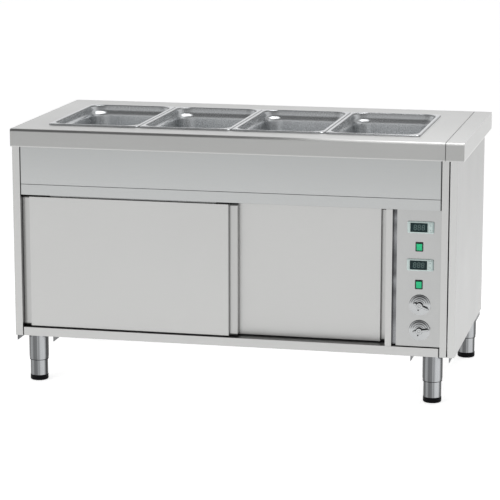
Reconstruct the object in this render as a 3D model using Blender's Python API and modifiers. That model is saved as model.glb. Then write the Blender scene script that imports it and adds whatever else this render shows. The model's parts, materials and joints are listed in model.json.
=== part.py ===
"""Four-pan heated serving counter: a bain-marie well over a hot cupboard with two sliding doors.

Metres, +Z up, +X along the counter to the operator's right, -Y towards the operator.
The origin is on the floor under the middle of the counter.
"""

import math

import bmesh
import bpy
from mathutils import Matrix, Vector

# ---------------------------------------------------------------- driving dimensions
LENGTH, DEPTH, TOP_Z = 1.570, 0.790, 0.900
FASCIA = 0.062              # height of the worktop's turned-down edge
NOSE_R = 0.010              # radius of its front edge
SHEET = 0.0015              # folded panels
TOP_SHEET = 0.002           # worktop
GAP = 0.0003                # left between pieces that touch
OPEN_JOINT = 0.0015         # shows as a dark line beside the posts
OVERHANG = 0.012            # worktop beyond the front of the cabinet
BODY_Z0 = 0.169             # underside of the cabinet
PIERCE = 0.010              # how far a cutter runs past the face that it cuts

RIGHT, LEFT = LENGTH / 2, -LENGTH / 2
TOP_FRONT, TOP_BACK = -DEPTH / 2, DEPTH / 2
FRONT, BACK = TOP_FRONT + OVERHANG, 0.380
FASCIA_BOTTOM = TOP_Z - FASCIA

# cabinet posts, from left to right, as the outer and inner faces that show from the front
LEFT_POST = (-0.7825, -0.7560)
PARTITION_POST = (0.5256, 0.5473)
RIGHT_POST = (0.7114, 0.7345)
END_PANEL = (0.7385, 0.7625)
TOP_SEAM = 0.7220           # between the worktop and its end strip
UNDER_SHEET = TOP_Z - TOP_SHEET - GAP
POST_RETURN = 0.080         # depth of the posts' inner returns, beside the doors
PANEL_LIP = 0.040           # depth of the narrower returns
INSIDE = (LEFT_POST[1] + GAP, RIGHT_POST[0] - GAP)
BETWEEN_POSTS = (LEFT_POST[1] + OPEN_JOINT, RIGHT_POST[0] - OPEN_JOINT)

# front of the cabinet, from the floor up
RAIL_TOP = BODY_Z0 + 0.030
DOOR_Z = (0.2035, 0.6615)
HEADER_Z = (0.6695, 0.7060)
APRON_Z0 = HEADER_Z[1] + 0.0012
APRON_THICK, BACK_THICK = 0.020, 0.014

# hot cupboard
LINER_BACK = BACK - 0.030
LINER_RIGHT = PARTITION_POST[1] - SHEET - GAP
SHELF_FRONT, SHELF_Z = -0.250, (0.405, 0.430)

# gastronorm pans and their well
PAN_OUTER = (0.325, 0.530)
PAN_PITCH = 0.3265
PAN_COUNT = 4
PAN_FIRST = -0.5225
PAN_RIM = 0.0050            # the rolled rim stands on the worktop
PAN_DEPTH = 0.150
PAN_SHEET = 0.0012
PAN_CENTRES = [PAN_FIRST + index * PAN_PITCH for index in range(PAN_COUNT)]
WELL_X = (-0.677, 0.6115)
WELL_Y = (-0.268, 0.244)
PAN_Y = sum(WELL_Y) / 2
TANK_FLOOR = 0.700
GRID_BAR, GRID_RAIL, GRID_HEIGHT = 0.010, 0.0030, 0.016

# sliding doors
DOOR_WIDTH, DOOR_THICK = 0.766, 0.030
DOOR_GRIP = 0.028           # recessed finger strip down each side
GRIP_STEP = 0.012
LEFT_DOOR_X, LEFT_DOOR_FRONT = -0.755, FRONT + 0.010
RIGHT_DOOR_X, RIGHT_DOOR_FRONT = 0.531 - DOOR_WIDTH, LEFT_DOOR_FRONT + 0.036
WHEEL_R, WHEEL_W, AXLE_R, WHEEL_BORE = 0.0100, 0.006, 0.0030, 0.00306
WHEEL_OFFSETS = (0.130, 0.660)
LEDGE_Z = 0.6790            # top of the track ledge that the wheels run on
AXLE_Z = LEDGE_Z + WHEEL_R + 0.0002
HANGER_Y, HANGER_SHEET = 0.0130, 0.0030    # from the door's front
HANGER_ENDS = (0.100, 0.076)               # from the door's left and right edges
TAB_HALF, TAB_OVER_AXLE = 0.016, 0.007
TRACK_SHEET, TRACK_LEDGE, TRACK_BEFORE_HANGER = 0.0015, 0.0115, 0.0120
GUIDE_X, GUIDE_FIN, GUIDE_HEIGHT, GUIDE_FLOOR = (-0.200, -0.035), 0.006, 0.012, 0.0025

# controls
PANEL_X, PANEL_Y = (0.562, RIGHT_POST[0] - GAP), FRONT + 0.006
PANEL_RETURN = 0.018        # depth of the shadow channel beside the partition
PANEL_Z = (RAIL_TOP + 0.003, HEADER_Z[0] - GAP)
THERMOSTATS = {"bath_thermostat": 0.611, "cupboard_thermostat": 0.483}
THERMOSTAT_X, THERMOSTAT_SIZE, THERMOSTAT_DEPTH = 0.642, (0.090, 0.040), 0.055
THERMOSTAT_BODY = (0.076, 0.030)
THERMOSTAT_HOLE = (0.078, 0.032)
BEZEL_PROUD = 0.0070
WINDOW_X, WINDOW_HALF, WINDOW_POCKET, WINDOW_SET_BACK = (0.6075, 0.6655), 0.0155, 0.0030, 0.0008
KEY_X, KEY_HALF, KEY_POCKET = (0.6690, 0.6830), 0.0145, 0.0045
KEY_PROUD, KEY_BACK, KEY_PLAY = 0.0010, 0.0028, 0.0004
SWITCHES = {"bath_switch": 0.5445, "cupboard_switch": 0.4155}
SWITCH_X, SWITCH_SIZE, SWITCH_PROUD, SWITCH_DEPTH = 0.638, (0.026, 0.032), 0.0030, 0.026
SWITCH_HOLE = (0.022, 0.028)
SWITCH_BODY = (0.020, 0.026)
SWITCH_POCKET, POCKET_DEPTH = (0.0196, 0.0256), 0.012
ROCKER_TILT, ROCKER_PIVOT = math.radians(8), 0.004
VALVES = {"fill": 0.3455, "drain": 0.2582}
VALVE_TILTS = {"fill": 22, "drain": -9}   # degrees clockwise, seen by the operator
VALVE_X, VALVE_Y = 0.6425, -0.295
ROSETTE_R, ROSETTE_H, ROSETTE_SHEET = 0.0360, 0.0085, 0.0012
SPINDLE_R, SPINDLE_PLAY = 0.0060, 0.0015
HUB_R, HUB_FRONT, HUB_BACK = 0.0115, 0.0175, 0.0092
ARM_LAYER = (0.0105, 0.0160)              # from the panel
BARREL_R, BARREL_LENGTH = 0.0165, 0.044

# water, drain and mains
DRAIN_X, DRAIN_Y, DRAIN_R = 0.588, -0.225, 0.0095
OUTLET_X, OUTLET_Y, OUTLET_Z = 0.690, -0.150, BODY_Z0 - 0.025
FILL_Y, FILL_Z, FILL_R = -0.215, 0.868, 0.0065
INLET_Z, INLET_PROUD = 0.300, 0.015
PIPE_PLAY = 0.0010
GLAND_X, GLAND_Z, GLAND_R = 0.600, 0.300, 0.0085
HEATER_Z, HEATER_R, HEATER_Y = 0.716, 0.0042, (-0.060, 0.060)
SHELF_HEATER_Z, SHELF_HEATER_Y, SHELF_HEATER_X = 0.235, (0.255, 0.315), (-0.650, 0.572)
HEATER_PLAY = 0.0004

# legs: the place of each, and the middle of the channel that it hangs from
LEGS = {
    "front_left": (-0.717, -0.325, -0.7150),
    "front_right": (0.682, -0.325, 0.6780),
    "rear_left": (-0.740, 0.330, -0.7150),
    "rear_right": (0.716, 0.330, 0.6920),
}
LEG_R, LEG_INNER_R, FOOT_R = 0.0345, 0.0308, 0.0316
LEG_WALL, LEG_PLAY = 0.0015, 0.0004
LEG_JOINT_Z, FOOT_H, LEG_TOP = 0.075, 0.019, 0.148
CHANNEL_WIDTH, CHANNEL_LENGTH, CHANNEL_DROP, CHANNEL_SHEET = 0.133, 0.130, 0.021, 0.002
CHANNEL_AHEAD = 0.043       # the channel runs this far past the leg's axis, towards the outside

STEEL = ((0.60, 0.61, 0.60, 1), 0.32, 1.0)
BRIGHT_STEEL = ((0.64, 0.65, 0.65, 1), 0.18, 1.0)
ALUMINIUM = ((0.62, 0.63, 0.64, 1), 0.40, 1.0)
BLACK_PLASTIC = ((0.02, 0.02, 0.02, 1), 0.45, 0.0)
PALE_PLASTIC = ((0.60, 0.68, 0.67, 1), 0.40, 0.0)
GREEN_LENS = ((0.03, 0.52, 0.24, 1), 0.25, 0.0)
DARK_LENS = ((0.01, 0.025, 0.025, 1), 0.08, 0.0)
BRASS = ((0.60, 0.45, 0.20, 1), 0.35, 1.0)

for old in list(bpy.data.objects):
    bpy.data.objects.remove(old, do_unlink=True)
counter = bpy.data.collections.new("steam_table_unit")
cutters = bpy.data.collections.new("cutters")
for made in (counter, cutters):
    bpy.context.scene.collection.children.link(made)


# ---------------------------------------------------------------- helpers
def material(name, look):
    colour, roughness, metallic = look
    found = bpy.data.materials.get(name) or bpy.data.materials.new(name)
    found.use_nodes = True
    shader = found.node_tree.nodes["Principled BSDF"]
    shader.inputs["Base Color"].default_value = colour
    shader.inputs["Roughness"].default_value = roughness
    shader.inputs["Metallic"].default_value = metallic
    return found


MATERIALS = {
    "steel": material("steel", STEEL),
    "bright_steel": material("bright_steel", BRIGHT_STEEL),
    "aluminium": material("aluminium", ALUMINIUM),
    "black_plastic": material("black_plastic", BLACK_PLASTIC),
    "pale_plastic": material("pale_plastic", PALE_PLASTIC),
    "green_lens": material("green_lens", GREEN_LENS),
    "dark_lens": material("dark_lens", DARK_LENS),
    "brass": material("brass", BRASS),
}


def add_object(name, data, look, origin=(0, 0, 0)):
    """A piece of the counter, whose mesh is given in world places and whose origin is set to origin."""
    made = bpy.data.objects.new(name, data)
    if origin != (0, 0, 0):
        data.transform(Matrix.Translation(-Vector(origin)))
        made.location = origin
    if look:
        data.materials.append(MATERIALS[look])
    (counter if look else cutters).objects.link(made)
    if not look:
        made.hide_render = True
        made.display_type = "WIRE"
    return made


def mesh_of(name, bm):
    bmesh.ops.recalc_face_normals(bm, faces=bm.faces)
    mesh = bpy.data.meshes.new(name)
    bm.to_mesh(mesh)
    bm.free()
    return mesh


def cube(bm, low, high):
    low, high = Vector(low), Vector(high)
    place = Matrix.Translation((low + high) / 2) @ Matrix.Diagonal((*(high - low), 1))
    bmesh.ops.create_cube(bm, size=1, matrix=place)


def box(name, low, high, look, origin=(0, 0, 0)):
    bm = bmesh.new()
    cube(bm, low, high)
    return add_object(name, mesh_of(name, bm), look, origin)


def add_modifier(piece, kind, **settings):
    made = piece.modifiers.new(kind.lower(), kind)
    for key, value in settings.items():
        setattr(made, key, value)


def cut(piece, cutter):
    add_modifier(piece, "BOOLEAN", operation="DIFFERENCE", object=cutter)


def join(piece, other):
    add_modifier(piece, "BOOLEAN", operation="UNION", object=other)


AXES = {
    "-x": Vector((-1, 0, 0)), "+x": Vector((1, 0, 0)),
    "-y": Vector((0, -1, 0)), "+y": Vector((0, 1, 0)),
    "-z": Vector((0, 0, -1)), "+z": Vector((0, 0, 1)),
}


def open_box(name, low, high, missing, look, sheet=SHEET, nose=0.0):
    """A folded tray: a box without the faces whose outward axes are in missing, made into sheet inwards.

    nose is the radius of the edge between its front and its top.
    """
    bm = bmesh.new()
    cube(bm, low, high)
    bmesh.ops.recalc_face_normals(bm, faces=bm.faces)

    def face_on(axis):
        return next(f for f in bm.faces if f.normal.dot(AXES[axis]) > 0.99)

    if nose:
        edge = next(e for e in face_on("-y").edges if face_on("+z") in e.link_faces)
        bmesh.ops.bevel(bm, geom=[edge], offset=nose, segments=6, affect="EDGES", profile=0.5)
    bmesh.ops.delete(bm, geom=[face_on(axis) for axis in missing], context="FACES")
    mesh = bpy.data.meshes.new(name)
    bm.to_mesh(mesh)
    bm.free()
    made = add_object(name, mesh, look)
    add_modifier(made, "SOLIDIFY", thickness=sheet, offset=-1, use_even_offset=True)
    return made


def folded_sheet(name, plan, z0, z1, look):
    """Sheet bent along the open line plan, a list of (x, y), from z0 to z1, thickening to the line's left."""
    bm = bmesh.new()
    low = [bm.verts.new((x, y, z0)) for x, y in plan]
    high = [bm.verts.new((x, y, z1)) for x, y in plan]
    for i in range(len(plan) - 1):
        bm.faces.new((low[i], low[i + 1], high[i + 1], high[i]))
    mesh = bpy.data.meshes.new(name)
    bm.to_mesh(mesh)
    bm.free()
    made = add_object(name, mesh, look)
    add_modifier(made, "SOLIDIFY", thickness=SHEET, offset=-1, use_even_offset=True)
    return made


def prism(bm, outline, low, high, place):
    """A solid with the closed outline of (u, v) points, from low to high along the third axis of place."""
    bottom = [bm.verts.new(place @ Vector((u, v, low))) for u, v in outline]
    top = [bm.verts.new(place @ Vector((u, v, high))) for u, v in outline]
    count = len(outline)
    bm.faces.new(bottom)
    bm.faces.new(top)
    for i in range(count):
        bm.faces.new((bottom[i], bottom[(i + 1) % count], top[(i + 1) % count], top[i]))


ALONG_X = Matrix(((0, 0, 1, 0), (1, 0, 0, 0), (0, 1, 0, 0), (0, 0, 0, 1)))   # (u, v) are (y, z)
ALONG_Y = Matrix(((1, 0, 0, 0), (0, 0, 1, 0), (0, 1, 0, 0), (0, 0, 0, 1)))   # (u, v) are (x, z)
ALONG_Z = Matrix.Identity(4)                                                # (u, v) are (x, y)
TURNS = {"X": Matrix.Rotation(math.pi / 2, 4, "Y"), "Y": Matrix.Rotation(-math.pi / 2, 4, "X"), "Z": Matrix()}


def cylinder(bm, centre, radius, length, axis, segments):
    bmesh.ops.create_cone(
        bm, cap_ends=True, segments=segments, radius1=radius, radius2=radius, depth=length,
        matrix=Matrix.Translation(centre) @ TURNS[axis],
    )


def slab(bm, centre_x, z, size, y0, y1):
    """An upright rectangle, size wide and high, from y0 to y1."""
    cube(bm, (centre_x - size[0] / 2, y0, z - size[1] / 2), (centre_x + size[0] / 2, y1, z + size[1] / 2))


def smooth(piece, degrees=35):
    piece.data.shade_smooth()
    piece.data.set_sharp_from_angle(angle=math.radians(degrees))


def turned(name, profile, centre, look, steps=32, axis="Z"):
    """A round piece turned about axis through centre, from (radius, height) points down its outer side.

    A profile that ends where it starts is a ring; any other starts and ends on the axis.
    """
    ring = profile[0] == profile[-1]
    points = [(r, 0, h) for r, h in (profile[:-1] if ring else profile)]
    edges = [(i, i + 1) for i in range(len(points) - 1)]
    if ring:
        edges.append((len(points) - 1, 0))
    mesh = bpy.data.meshes.new(name)
    mesh.from_pydata(points, edges, [])
    made = add_object(name, mesh, look)
    made.location = centre
    if axis == "Y":
        made.rotation_euler = (math.pi / 2, 0, 0)
    add_modifier(made, "SCREW", axis="Z", angle=2 * math.pi, steps=steps, render_steps=steps,
                 use_merge_vertices=True, merge_threshold=0.00005, use_smooth_shade=True)
    return made


def tube(name, route, radius, look):
    """A pipe along route, with a bend at each of its corners."""
    curve = bpy.data.curves.new(name, "CURVE")
    curve.dimensions = "3D"
    curve.bevel_depth = radius
    curve.bevel_resolution = 2
    curve.use_fill_caps = True
    points = rounded_route(route)
    spline = curve.splines.new("POLY")
    spline.points.add(len(points) - 1)
    for point, place in zip(spline.points, points):
        point.co = (*place, 1)
    made = bpy.data.objects.new(name, curve)
    counter.objects.link(made)
    curve.materials.append(MATERIALS[look])
    return made


def rounded_route(route, steps=3, radius=0.030):
    """route with each corner replaced by a short quadratic bend."""
    route = [Vector(p) for p in route]
    made = [route[0]]
    for before, corner, after in zip(route, route[1:], route[2:]):
        reach = min(radius, (corner - before).length / 2, (after - corner).length / 2)
        start = corner + (before - corner).normalized() * reach
        end = corner + (after - corner).normalized() * reach
        for i in range(steps + 1):
            t = i / steps
            made.append(start.lerp(corner, t).lerp(corner.lerp(end, t), t))
    made.append(route[-1])
    return made


def to_mesh(piece):
    """The same piece as a mesh with its caps welded, so that it can be cut or joined."""
    graph = bpy.context.evaluated_depsgraph_get()
    mesh = bpy.data.meshes.new_from_object(piece.evaluated_get(graph))
    bm = bmesh.new()
    bm.from_mesh(mesh)
    bmesh.ops.remove_doubles(bm, verts=bm.verts, dist=0.00001)
    bm.to_mesh(mesh)
    bm.free()
    name, place = piece.name, piece.matrix_world.copy()
    bpy.data.objects.remove(piece)
    made = bpy.data.objects.new(name, mesh)
    made.matrix_world = place
    counter.objects.link(made)
    return made


def rounded_rectangle(half_x, half_y, radius, steps):
    """Corner points of a rectangle with round corners, anticlockwise from its +X side."""
    points = []
    for quarter, (sx, sy) in enumerate(((1, 1), (-1, 1), (-1, -1), (1, -1))):
        centre = Vector((sx * (half_x - radius), sy * (half_y - radius)))
        for i in range(steps + 1):
            angle = (quarter + i / steps) * math.pi / 2
            points.append(centre + radius * Vector((math.cos(angle), math.sin(angle))))
    return points


def loft(bm, rings):
    """Faces between rings that have the same number of points, and no ends."""
    loops = [[bm.verts.new(p) for p in ring] for ring in rings]
    count = len(loops[0])
    for lower, upper in zip(loops, loops[1:]):
        for i in range(count):
            bm.faces.new((lower[i], lower[(i + 1) % count], upper[(i + 1) % count], upper[i]))
    return loops


# ---------------------------------------------------------------- worktop
def build_worktop():
    top = open_box(
        "worktop", (LEFT, TOP_FRONT, FASCIA_BOTTOM), (TOP_SEAM, TOP_BACK, TOP_Z), ("-z", "+x"),
        "steel", TOP_SHEET, NOSE_R,
    )
    well_low = (WELL_X[0], WELL_Y[0], TOP_Z - PIERCE)
    well_high = (WELL_X[1], WELL_Y[1], TOP_Z + PIERCE)
    cut(top, box("well_cutter", well_low, well_high, None))
    open_box(
        "end_strip", (TOP_SEAM + 0.001, TOP_FRONT, FASCIA_BOTTOM), (RIGHT, TOP_BACK, TOP_Z), ("-z", "-x"),
        "steel", TOP_SHEET, NOSE_R,
    )


# ---------------------------------------------------------------- well
def pan_rings(centre_x):
    """Rings of a pan's outer surface, from its rim's edge inwards and down to its floor."""
    half = [side / 2 for side in PAN_OUTER]
    rim_top = TOP_Z + PAN_RIM
    flange = 0.0140
    shoulder = 0.026
    steps = 4
    shapes = (
        (0.0000, 0.014, TOP_Z + GAP),
        (0.0000, 0.014, rim_top - 0.0020),
        (0.0020, 0.014, rim_top),
        (flange - 0.003, 0.045, rim_top),
        (flange, 0.045, rim_top - 0.003),
        (flange + 0.0015, 0.045, rim_top - shoulder),
        (flange + 0.0055, 0.044, rim_top - shoulder - 0.004),
        (flange + 0.0120, 0.040, rim_top - PAN_DEPTH + 0.018),
        (flange + 0.0240, 0.036, rim_top - PAN_DEPTH),
    )
    rings = []
    for inset, radius, z in shapes:
        outline = rounded_rectangle(half[0] - inset, half[1] - inset, radius, steps)
        rings.append([Vector((centre_x + p.x, PAN_Y + p.y, z)) for p in outline])
    return rings


def build_pans():
    for index, centre_x in enumerate(PAN_CENTRES):
        bm = bmesh.new()
        loops = loft(bm, pan_rings(centre_x))
        bm.faces.new(loops[-1])
        bmesh.ops.recalc_face_normals(bm, faces=bm.faces)
        floor = max(bm.faces, key=lambda f: len(f.verts))
        if floor.normal.z < 0:
            bmesh.ops.reverse_faces(bm, faces=bm.faces)
        name = f"pan_{index + 1}"
        mesh = bpy.data.meshes.new(name)
        bm.to_mesh(mesh)
        bm.free()
        pan = add_object(name, mesh, "bright_steel", origin=(centre_x, PAN_Y, TOP_Z))
        add_modifier(pan, "SOLIDIFY", thickness=PAN_SHEET, offset=-1, use_even_offset=True)
        smooth(pan)


def build_tank():
    tank = open_box(
        "water_tank", (WELL_X[0] - SHEET, WELL_Y[0] - SHEET, TANK_FLOOR),
        (WELL_X[1] + SHEET, WELL_Y[1] + SHEET, UNDER_SHEET), ("+z",), "steel",
    )
    bm = bmesh.new()
    cylinder(bm, (DRAIN_X, DRAIN_Y, TANK_FLOOR), DRAIN_R + 3 * PIPE_PLAY, 2 * PIERCE, "Z", 16)
    cylinder(bm, (WELL_X[1], FILL_Y, FILL_Z), FILL_R + PIPE_PLAY, 2 * PIERCE, "X", 16)
    for y in HEATER_Y:
        cylinder(bm, (WELL_X[1], y, HEATER_Z), HEATER_R + HEATER_PLAY, 2 * PIERCE, "X", 16)
    cut(tank, add_object("tank_holes", mesh_of("tank_holes", bm), None))


def build_support_grid():
    """A ladder frame inside the well's mouth: cross bars between the pans, and thin rails round them."""
    low = (WELL_X[0] + GAP, WELL_Y[0] + GAP, TOP_Z - GRID_HEIGHT)
    high = (WELL_X[1] - GAP, WELL_Y[1] - GAP, TOP_Z - GAP)
    grid = box("support_grid", low, high, "steel")
    bm = bmesh.new()
    for centre_x in PAN_CENTRES:
        left = low[0] + GRID_RAIL if centre_x == PAN_CENTRES[0] else centre_x - PAN_PITCH / 2 + GRID_BAR
        right = high[0] - GRID_RAIL if centre_x == PAN_CENTRES[-1] else centre_x + PAN_PITCH / 2 - GRID_BAR
        cube(bm, (left, low[1] + GRID_RAIL, low[2] - PIERCE), (right, high[1] - GRID_RAIL, high[2] + PIERCE))
    cut(grid, add_object("grid_windows", mesh_of("grid_windows", bm), None))


def build_heaters():
    """The tank's element lies in long loops on its floor; the cupboard's is a hairpin below the shelf."""
    far, near, end = -0.630, 0.555, WELL_X[1] + 0.030
    outer, middle = 0.190, 0.110
    front, back = HEATER_Y
    plan = [
        (end, front), (far, front), (far, -middle), (near, -middle), (near, -outer), (far - 0.025, -outer),
        (far - 0.025, outer), (near, outer), (near, middle), (far, middle), (far, back), (end, back),
    ]
    tube("bath_heater", [(x, y, HEATER_Z) for x, y in plan], HEATER_R, "bright_steel")
    (near_y, far_y), (left, right) = SHELF_HEATER_Y, SHELF_HEATER_X
    hairpin = [(right, far_y), (left, far_y), (left, near_y), (right, near_y)]
    tube("cupboard_heater", [(x, y, SHELF_HEATER_Z) for x, y in hairpin], HEATER_R, "bright_steel")


# ---------------------------------------------------------------- cabinet
def build_sides():
    """The two sides, each bent round its post, and the panel on the right end."""
    outer, inner = LEFT_POST
    left_plan = [(inner, BACK), (outer, BACK), (outer, FRONT), (inner, FRONT), (inner, FRONT + POST_RETURN)]
    folded_sheet("left_side", left_plan, BODY_Z0, UNDER_SHEET, "steel")
    inner, outer = RIGHT_POST
    right_plan = [(inner, FRONT + POST_RETURN), (inner, FRONT), (outer, FRONT), (outer, BACK), (inner, BACK)]
    folded_sheet("right_side", right_plan, BODY_Z0, UNDER_SHEET, "steel")
    inner, outer = END_PANEL
    end_plan = [
        (inner, FRONT + PANEL_LIP), (inner, FRONT), (outer, FRONT),
        (outer, BACK), (inner, BACK), (inner, BACK - PANEL_LIP),
    ]
    folded_sheet("end_panel", end_plan, BODY_Z0, UNDER_SHEET, "steel")


def build_front():
    """The apron under the worktop and, below it, the header over the doors."""
    left, right = BETWEEN_POSTS
    open_box(
        "apron_panel", (left, FRONT, APRON_Z0), (right, FRONT + APRON_THICK, UNDER_SHEET), ("+y",), "steel",
    )
    open_box(
        "header_rail", (left, FRONT, HEADER_Z[0]), (right, FRONT + POST_RETURN - 0.004, HEADER_Z[1]),
        ("+y", "-z"), "steel",
    )


def build_back_and_base():
    back = open_box(
        "back_panel", (INSIDE[0], BACK - BACK_THICK, BODY_Z0), (INSIDE[1], BACK, UNDER_SHEET),
        ("-y",), "steel",
    )
    holes = bmesh.new()
    cylinder(holes, (VALVE_X, BACK, INLET_Z), FILL_R + PIPE_PLAY, 3 * PIERCE, "Y", 16)
    cylinder(holes, (GLAND_X, BACK, GLAND_Z), GLAND_R + PIPE_PLAY, 3 * PIERCE, "Y", 16)
    cut(back, add_object("back_holes", mesh_of("back_holes", holes), None))
    base = open_box(
        "base_pan", (BETWEEN_POSTS[0], FRONT, BODY_Z0), (BETWEEN_POSTS[1], BACK - BACK_THICK - GAP, RAIL_TOP),
        ("-z",), "steel",
    )
    holes = bmesh.new()
    cylinder(holes, (OUTLET_X, OUTLET_Y, RAIL_TOP), DRAIN_R + PIPE_PLAY, 2 * PIERCE, "Z", 16)
    cut(base, add_object("base_hole", mesh_of("base_hole", holes), None))


def build_cupboard():
    """The partition beside the controls, the cupboard's open-fronted liner and its shelf."""
    left, right = PARTITION_POST
    back = BACK - BACK_THICK - GAP
    plan = [(left, FRONT + PANEL_LIP), (left, FRONT), (right, FRONT), (right, back), (left, back)]
    partition = folded_sheet("partition", plan, RAIL_TOP + GAP, HEADER_Z[0] - GAP, "steel")
    liner = open_box(
        "cupboard_liner", (INSIDE[0], FRONT + POST_RETURN + 0.0005, RAIL_TOP + 0.0007),
        (LINER_RIGHT, LINER_BACK, HEADER_Z[0] - 0.005), ("-y",), "steel",
    )
    clear = SHEET + GAP
    open_box(
        "shelf", (INSIDE[0] + clear, SHELF_FRONT, SHELF_Z[0]),
        (LINER_RIGHT - clear, LINER_BACK - clear, SHELF_Z[1]), ("-z",), "steel",
    )
    holes = bmesh.new()
    for y in SHELF_HEATER_Y:
        cylinder(holes, (LINER_RIGHT, y, SHELF_HEATER_Z), HEATER_R + HEATER_PLAY, 2 * PIERCE, "X", 16)
    element_holes = add_object("element_holes", mesh_of("element_holes", holes), None)
    cut(liner, element_holes)
    cut(partition, element_holes)


def build_door_guide():
    """A plastic block on the floor, with a fin inside the open bottom edge of each door."""
    floor = RAIL_TOP + GAP
    step = floor + GUIDE_FLOOR
    top = step + GUIDE_HEIGHT
    outer, inner = [
        (front + DOOR_THICK / 2 - GUIDE_FIN / 2, front + DOOR_THICK / 2 + GUIDE_FIN / 2)
        for front in (LEFT_DOOR_FRONT, RIGHT_DOOR_FRONT)
    ]
    outline = [
        (outer[0], floor), (inner[1], floor), (inner[1], top), (inner[0], top),
        (inner[0], step), (outer[1], step), (outer[1], top), (outer[0], top),
    ]
    bm = bmesh.new()
    prism(bm, outline, *GUIDE_X, ALONG_X)
    add_object("door_guide", mesh_of("door_guide", bm), "black_plastic")


# ---------------------------------------------------------------- water, drain and mains
def pipe_with_valve(name, route, radius, barrel_axis, valve, look):
    """A pipe and, in line with it, the barrel of its quarter-turn valve."""
    pipe = to_mesh(tube(name, route, radius, look))
    bm = bmesh.new()
    cylinder(bm, (VALVE_X, VALVE_Y, VALVES[valve]), BARREL_R, BARREL_LENGTH, barrel_axis, 24)
    join(pipe, add_object(f"{name}_barrel", mesh_of(name, bm), None))
    smooth(pipe)


def build_plumbing():
    valve_z = VALVES["drain"]
    drain_route = [
        (DRAIN_X, DRAIN_Y, TANK_FLOOR + 0.004), (DRAIN_X, DRAIN_Y, valve_z + 0.06),
        (DRAIN_X, VALVE_Y, valve_z), (OUTLET_X, VALVE_Y, valve_z),
        (OUTLET_X, OUTLET_Y, valve_z), (OUTLET_X, OUTLET_Y, OUTLET_Z),
    ]
    pipe_with_valve("drain_line", drain_route, DRAIN_R, "X", "drain", "steel")
    fill_route = [
        (VALVE_X, BACK + INLET_PROUD, INLET_Z), (VALVE_X, VALVE_Y, INLET_Z), (VALVE_X, VALVE_Y, 0.800),
        (VALVE_X, FILL_Y, FILL_Z), (WELL_X[1] - 0.006, FILL_Y, FILL_Z),
    ]
    pipe_with_valve("fill_line", fill_route, FILL_R, "Z", "fill", "brass")
    shoulder = GLAND_R + 0.0045
    gland_profile = [
        (0.0000, 0.0140), (GLAND_R, 0.0140), (shoulder, 0.0110), (shoulder, GAP),
        (GLAND_R, GAP), (GLAND_R, -0.0180), (0.0000, -0.0180),
    ]
    gland = turned("cable_gland", gland_profile, (GLAND_X, BACK, GLAND_Z), "black_plastic", 24)
    gland.rotation_euler = (-math.pi / 2, 0, 0)


# ---------------------------------------------------------------- sliding doors
def build_leaf(name, x0, front):
    """A hollow door, open underneath, whose raised panel lies between two recessed finger strips."""
    x1, back, strip = x0 + DOOR_WIDTH, front + DOOR_THICK, front + GRIP_STEP
    outline = [
        (x0, back), (x0, strip), (x0 + DOOR_GRIP, strip), (x0 + DOOR_GRIP, front),
        (x1 - DOOR_GRIP, front), (x1 - DOOR_GRIP, strip), (x1, strip), (x1, back),
    ]
    bm = bmesh.new()
    prism(bm, outline, *DOOR_Z, ALONG_Z)
    bmesh.ops.recalc_face_normals(bm, faces=bm.faces)
    floor = min(bm.faces, key=lambda f: f.calc_center_median().z)
    bmesh.ops.delete(bm, geom=[floor], context="FACES")
    mesh = bpy.data.meshes.new(name)
    bm.to_mesh(mesh)
    bm.free()
    leaf = add_object(name, mesh, "steel")
    add_modifier(leaf, "SOLIDIFY", thickness=SHEET, offset=-1, use_even_offset=True)


def build_hanger(name, x0, plate_y):
    """A strip on top of the door with two upright tabs, each with a fixed axle for its wheel."""
    plate_back = plate_y + HANGER_SHEET
    left, right = x0 + HANGER_ENDS[0], x0 + DOOR_WIDTH - HANGER_ENDS[1]
    hanger = box(name, (left, plate_y, DOOR_Z[1] + GAP), (right, plate_back, DOOR_Z[1] + 0.004), "steel")
    tabs, axles = bmesh.new(), bmesh.new()
    for offset in WHEEL_OFFSETS:
        x = x0 + offset
        tab_low, tab_top = DOOR_Z[1] + 0.001, AXLE_Z + TAB_OVER_AXLE
        cube(tabs, (x - TAB_HALF, plate_y, tab_low), (x + TAB_HALF, plate_back, tab_top))
        cylinder(axles, (x, plate_y - 0.0030, AXLE_Z), AXLE_R, 0.009, "Y", 24)
    join(hanger, add_object(f"{name}_tabs", mesh_of(f"{name}_tabs", tabs), None))
    join(hanger, add_object(f"{name}_axles", mesh_of(f"{name}_axles", axles), None))


def build_wheel(name, centre):
    bm = bmesh.new()
    cylinder(bm, centre, WHEEL_R, WHEEL_W, "Y", 32)
    wheel = add_object(name, mesh_of(name, bm), "black_plastic", centre)
    smooth(wheel)
    bore = bmesh.new()
    cylinder(bore, centre, WHEEL_BORE, 2 * WHEEL_W, "Y", 24)
    cut(wheel, add_object(f"{name}_bore", mesh_of("bore", bore), None))


def build_door(name, x0, front):
    plate_y = front + HANGER_Y
    build_leaf(name, x0, front)
    build_hanger(f"{name}_hanger", x0, plate_y)
    for index, offset in enumerate(WHEEL_OFFSETS):
        build_wheel(f"{name}_wheel_{index + 1}", (x0 + offset, plate_y - WHEEL_W / 2 - 0.0008, AXLE_Z))


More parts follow.
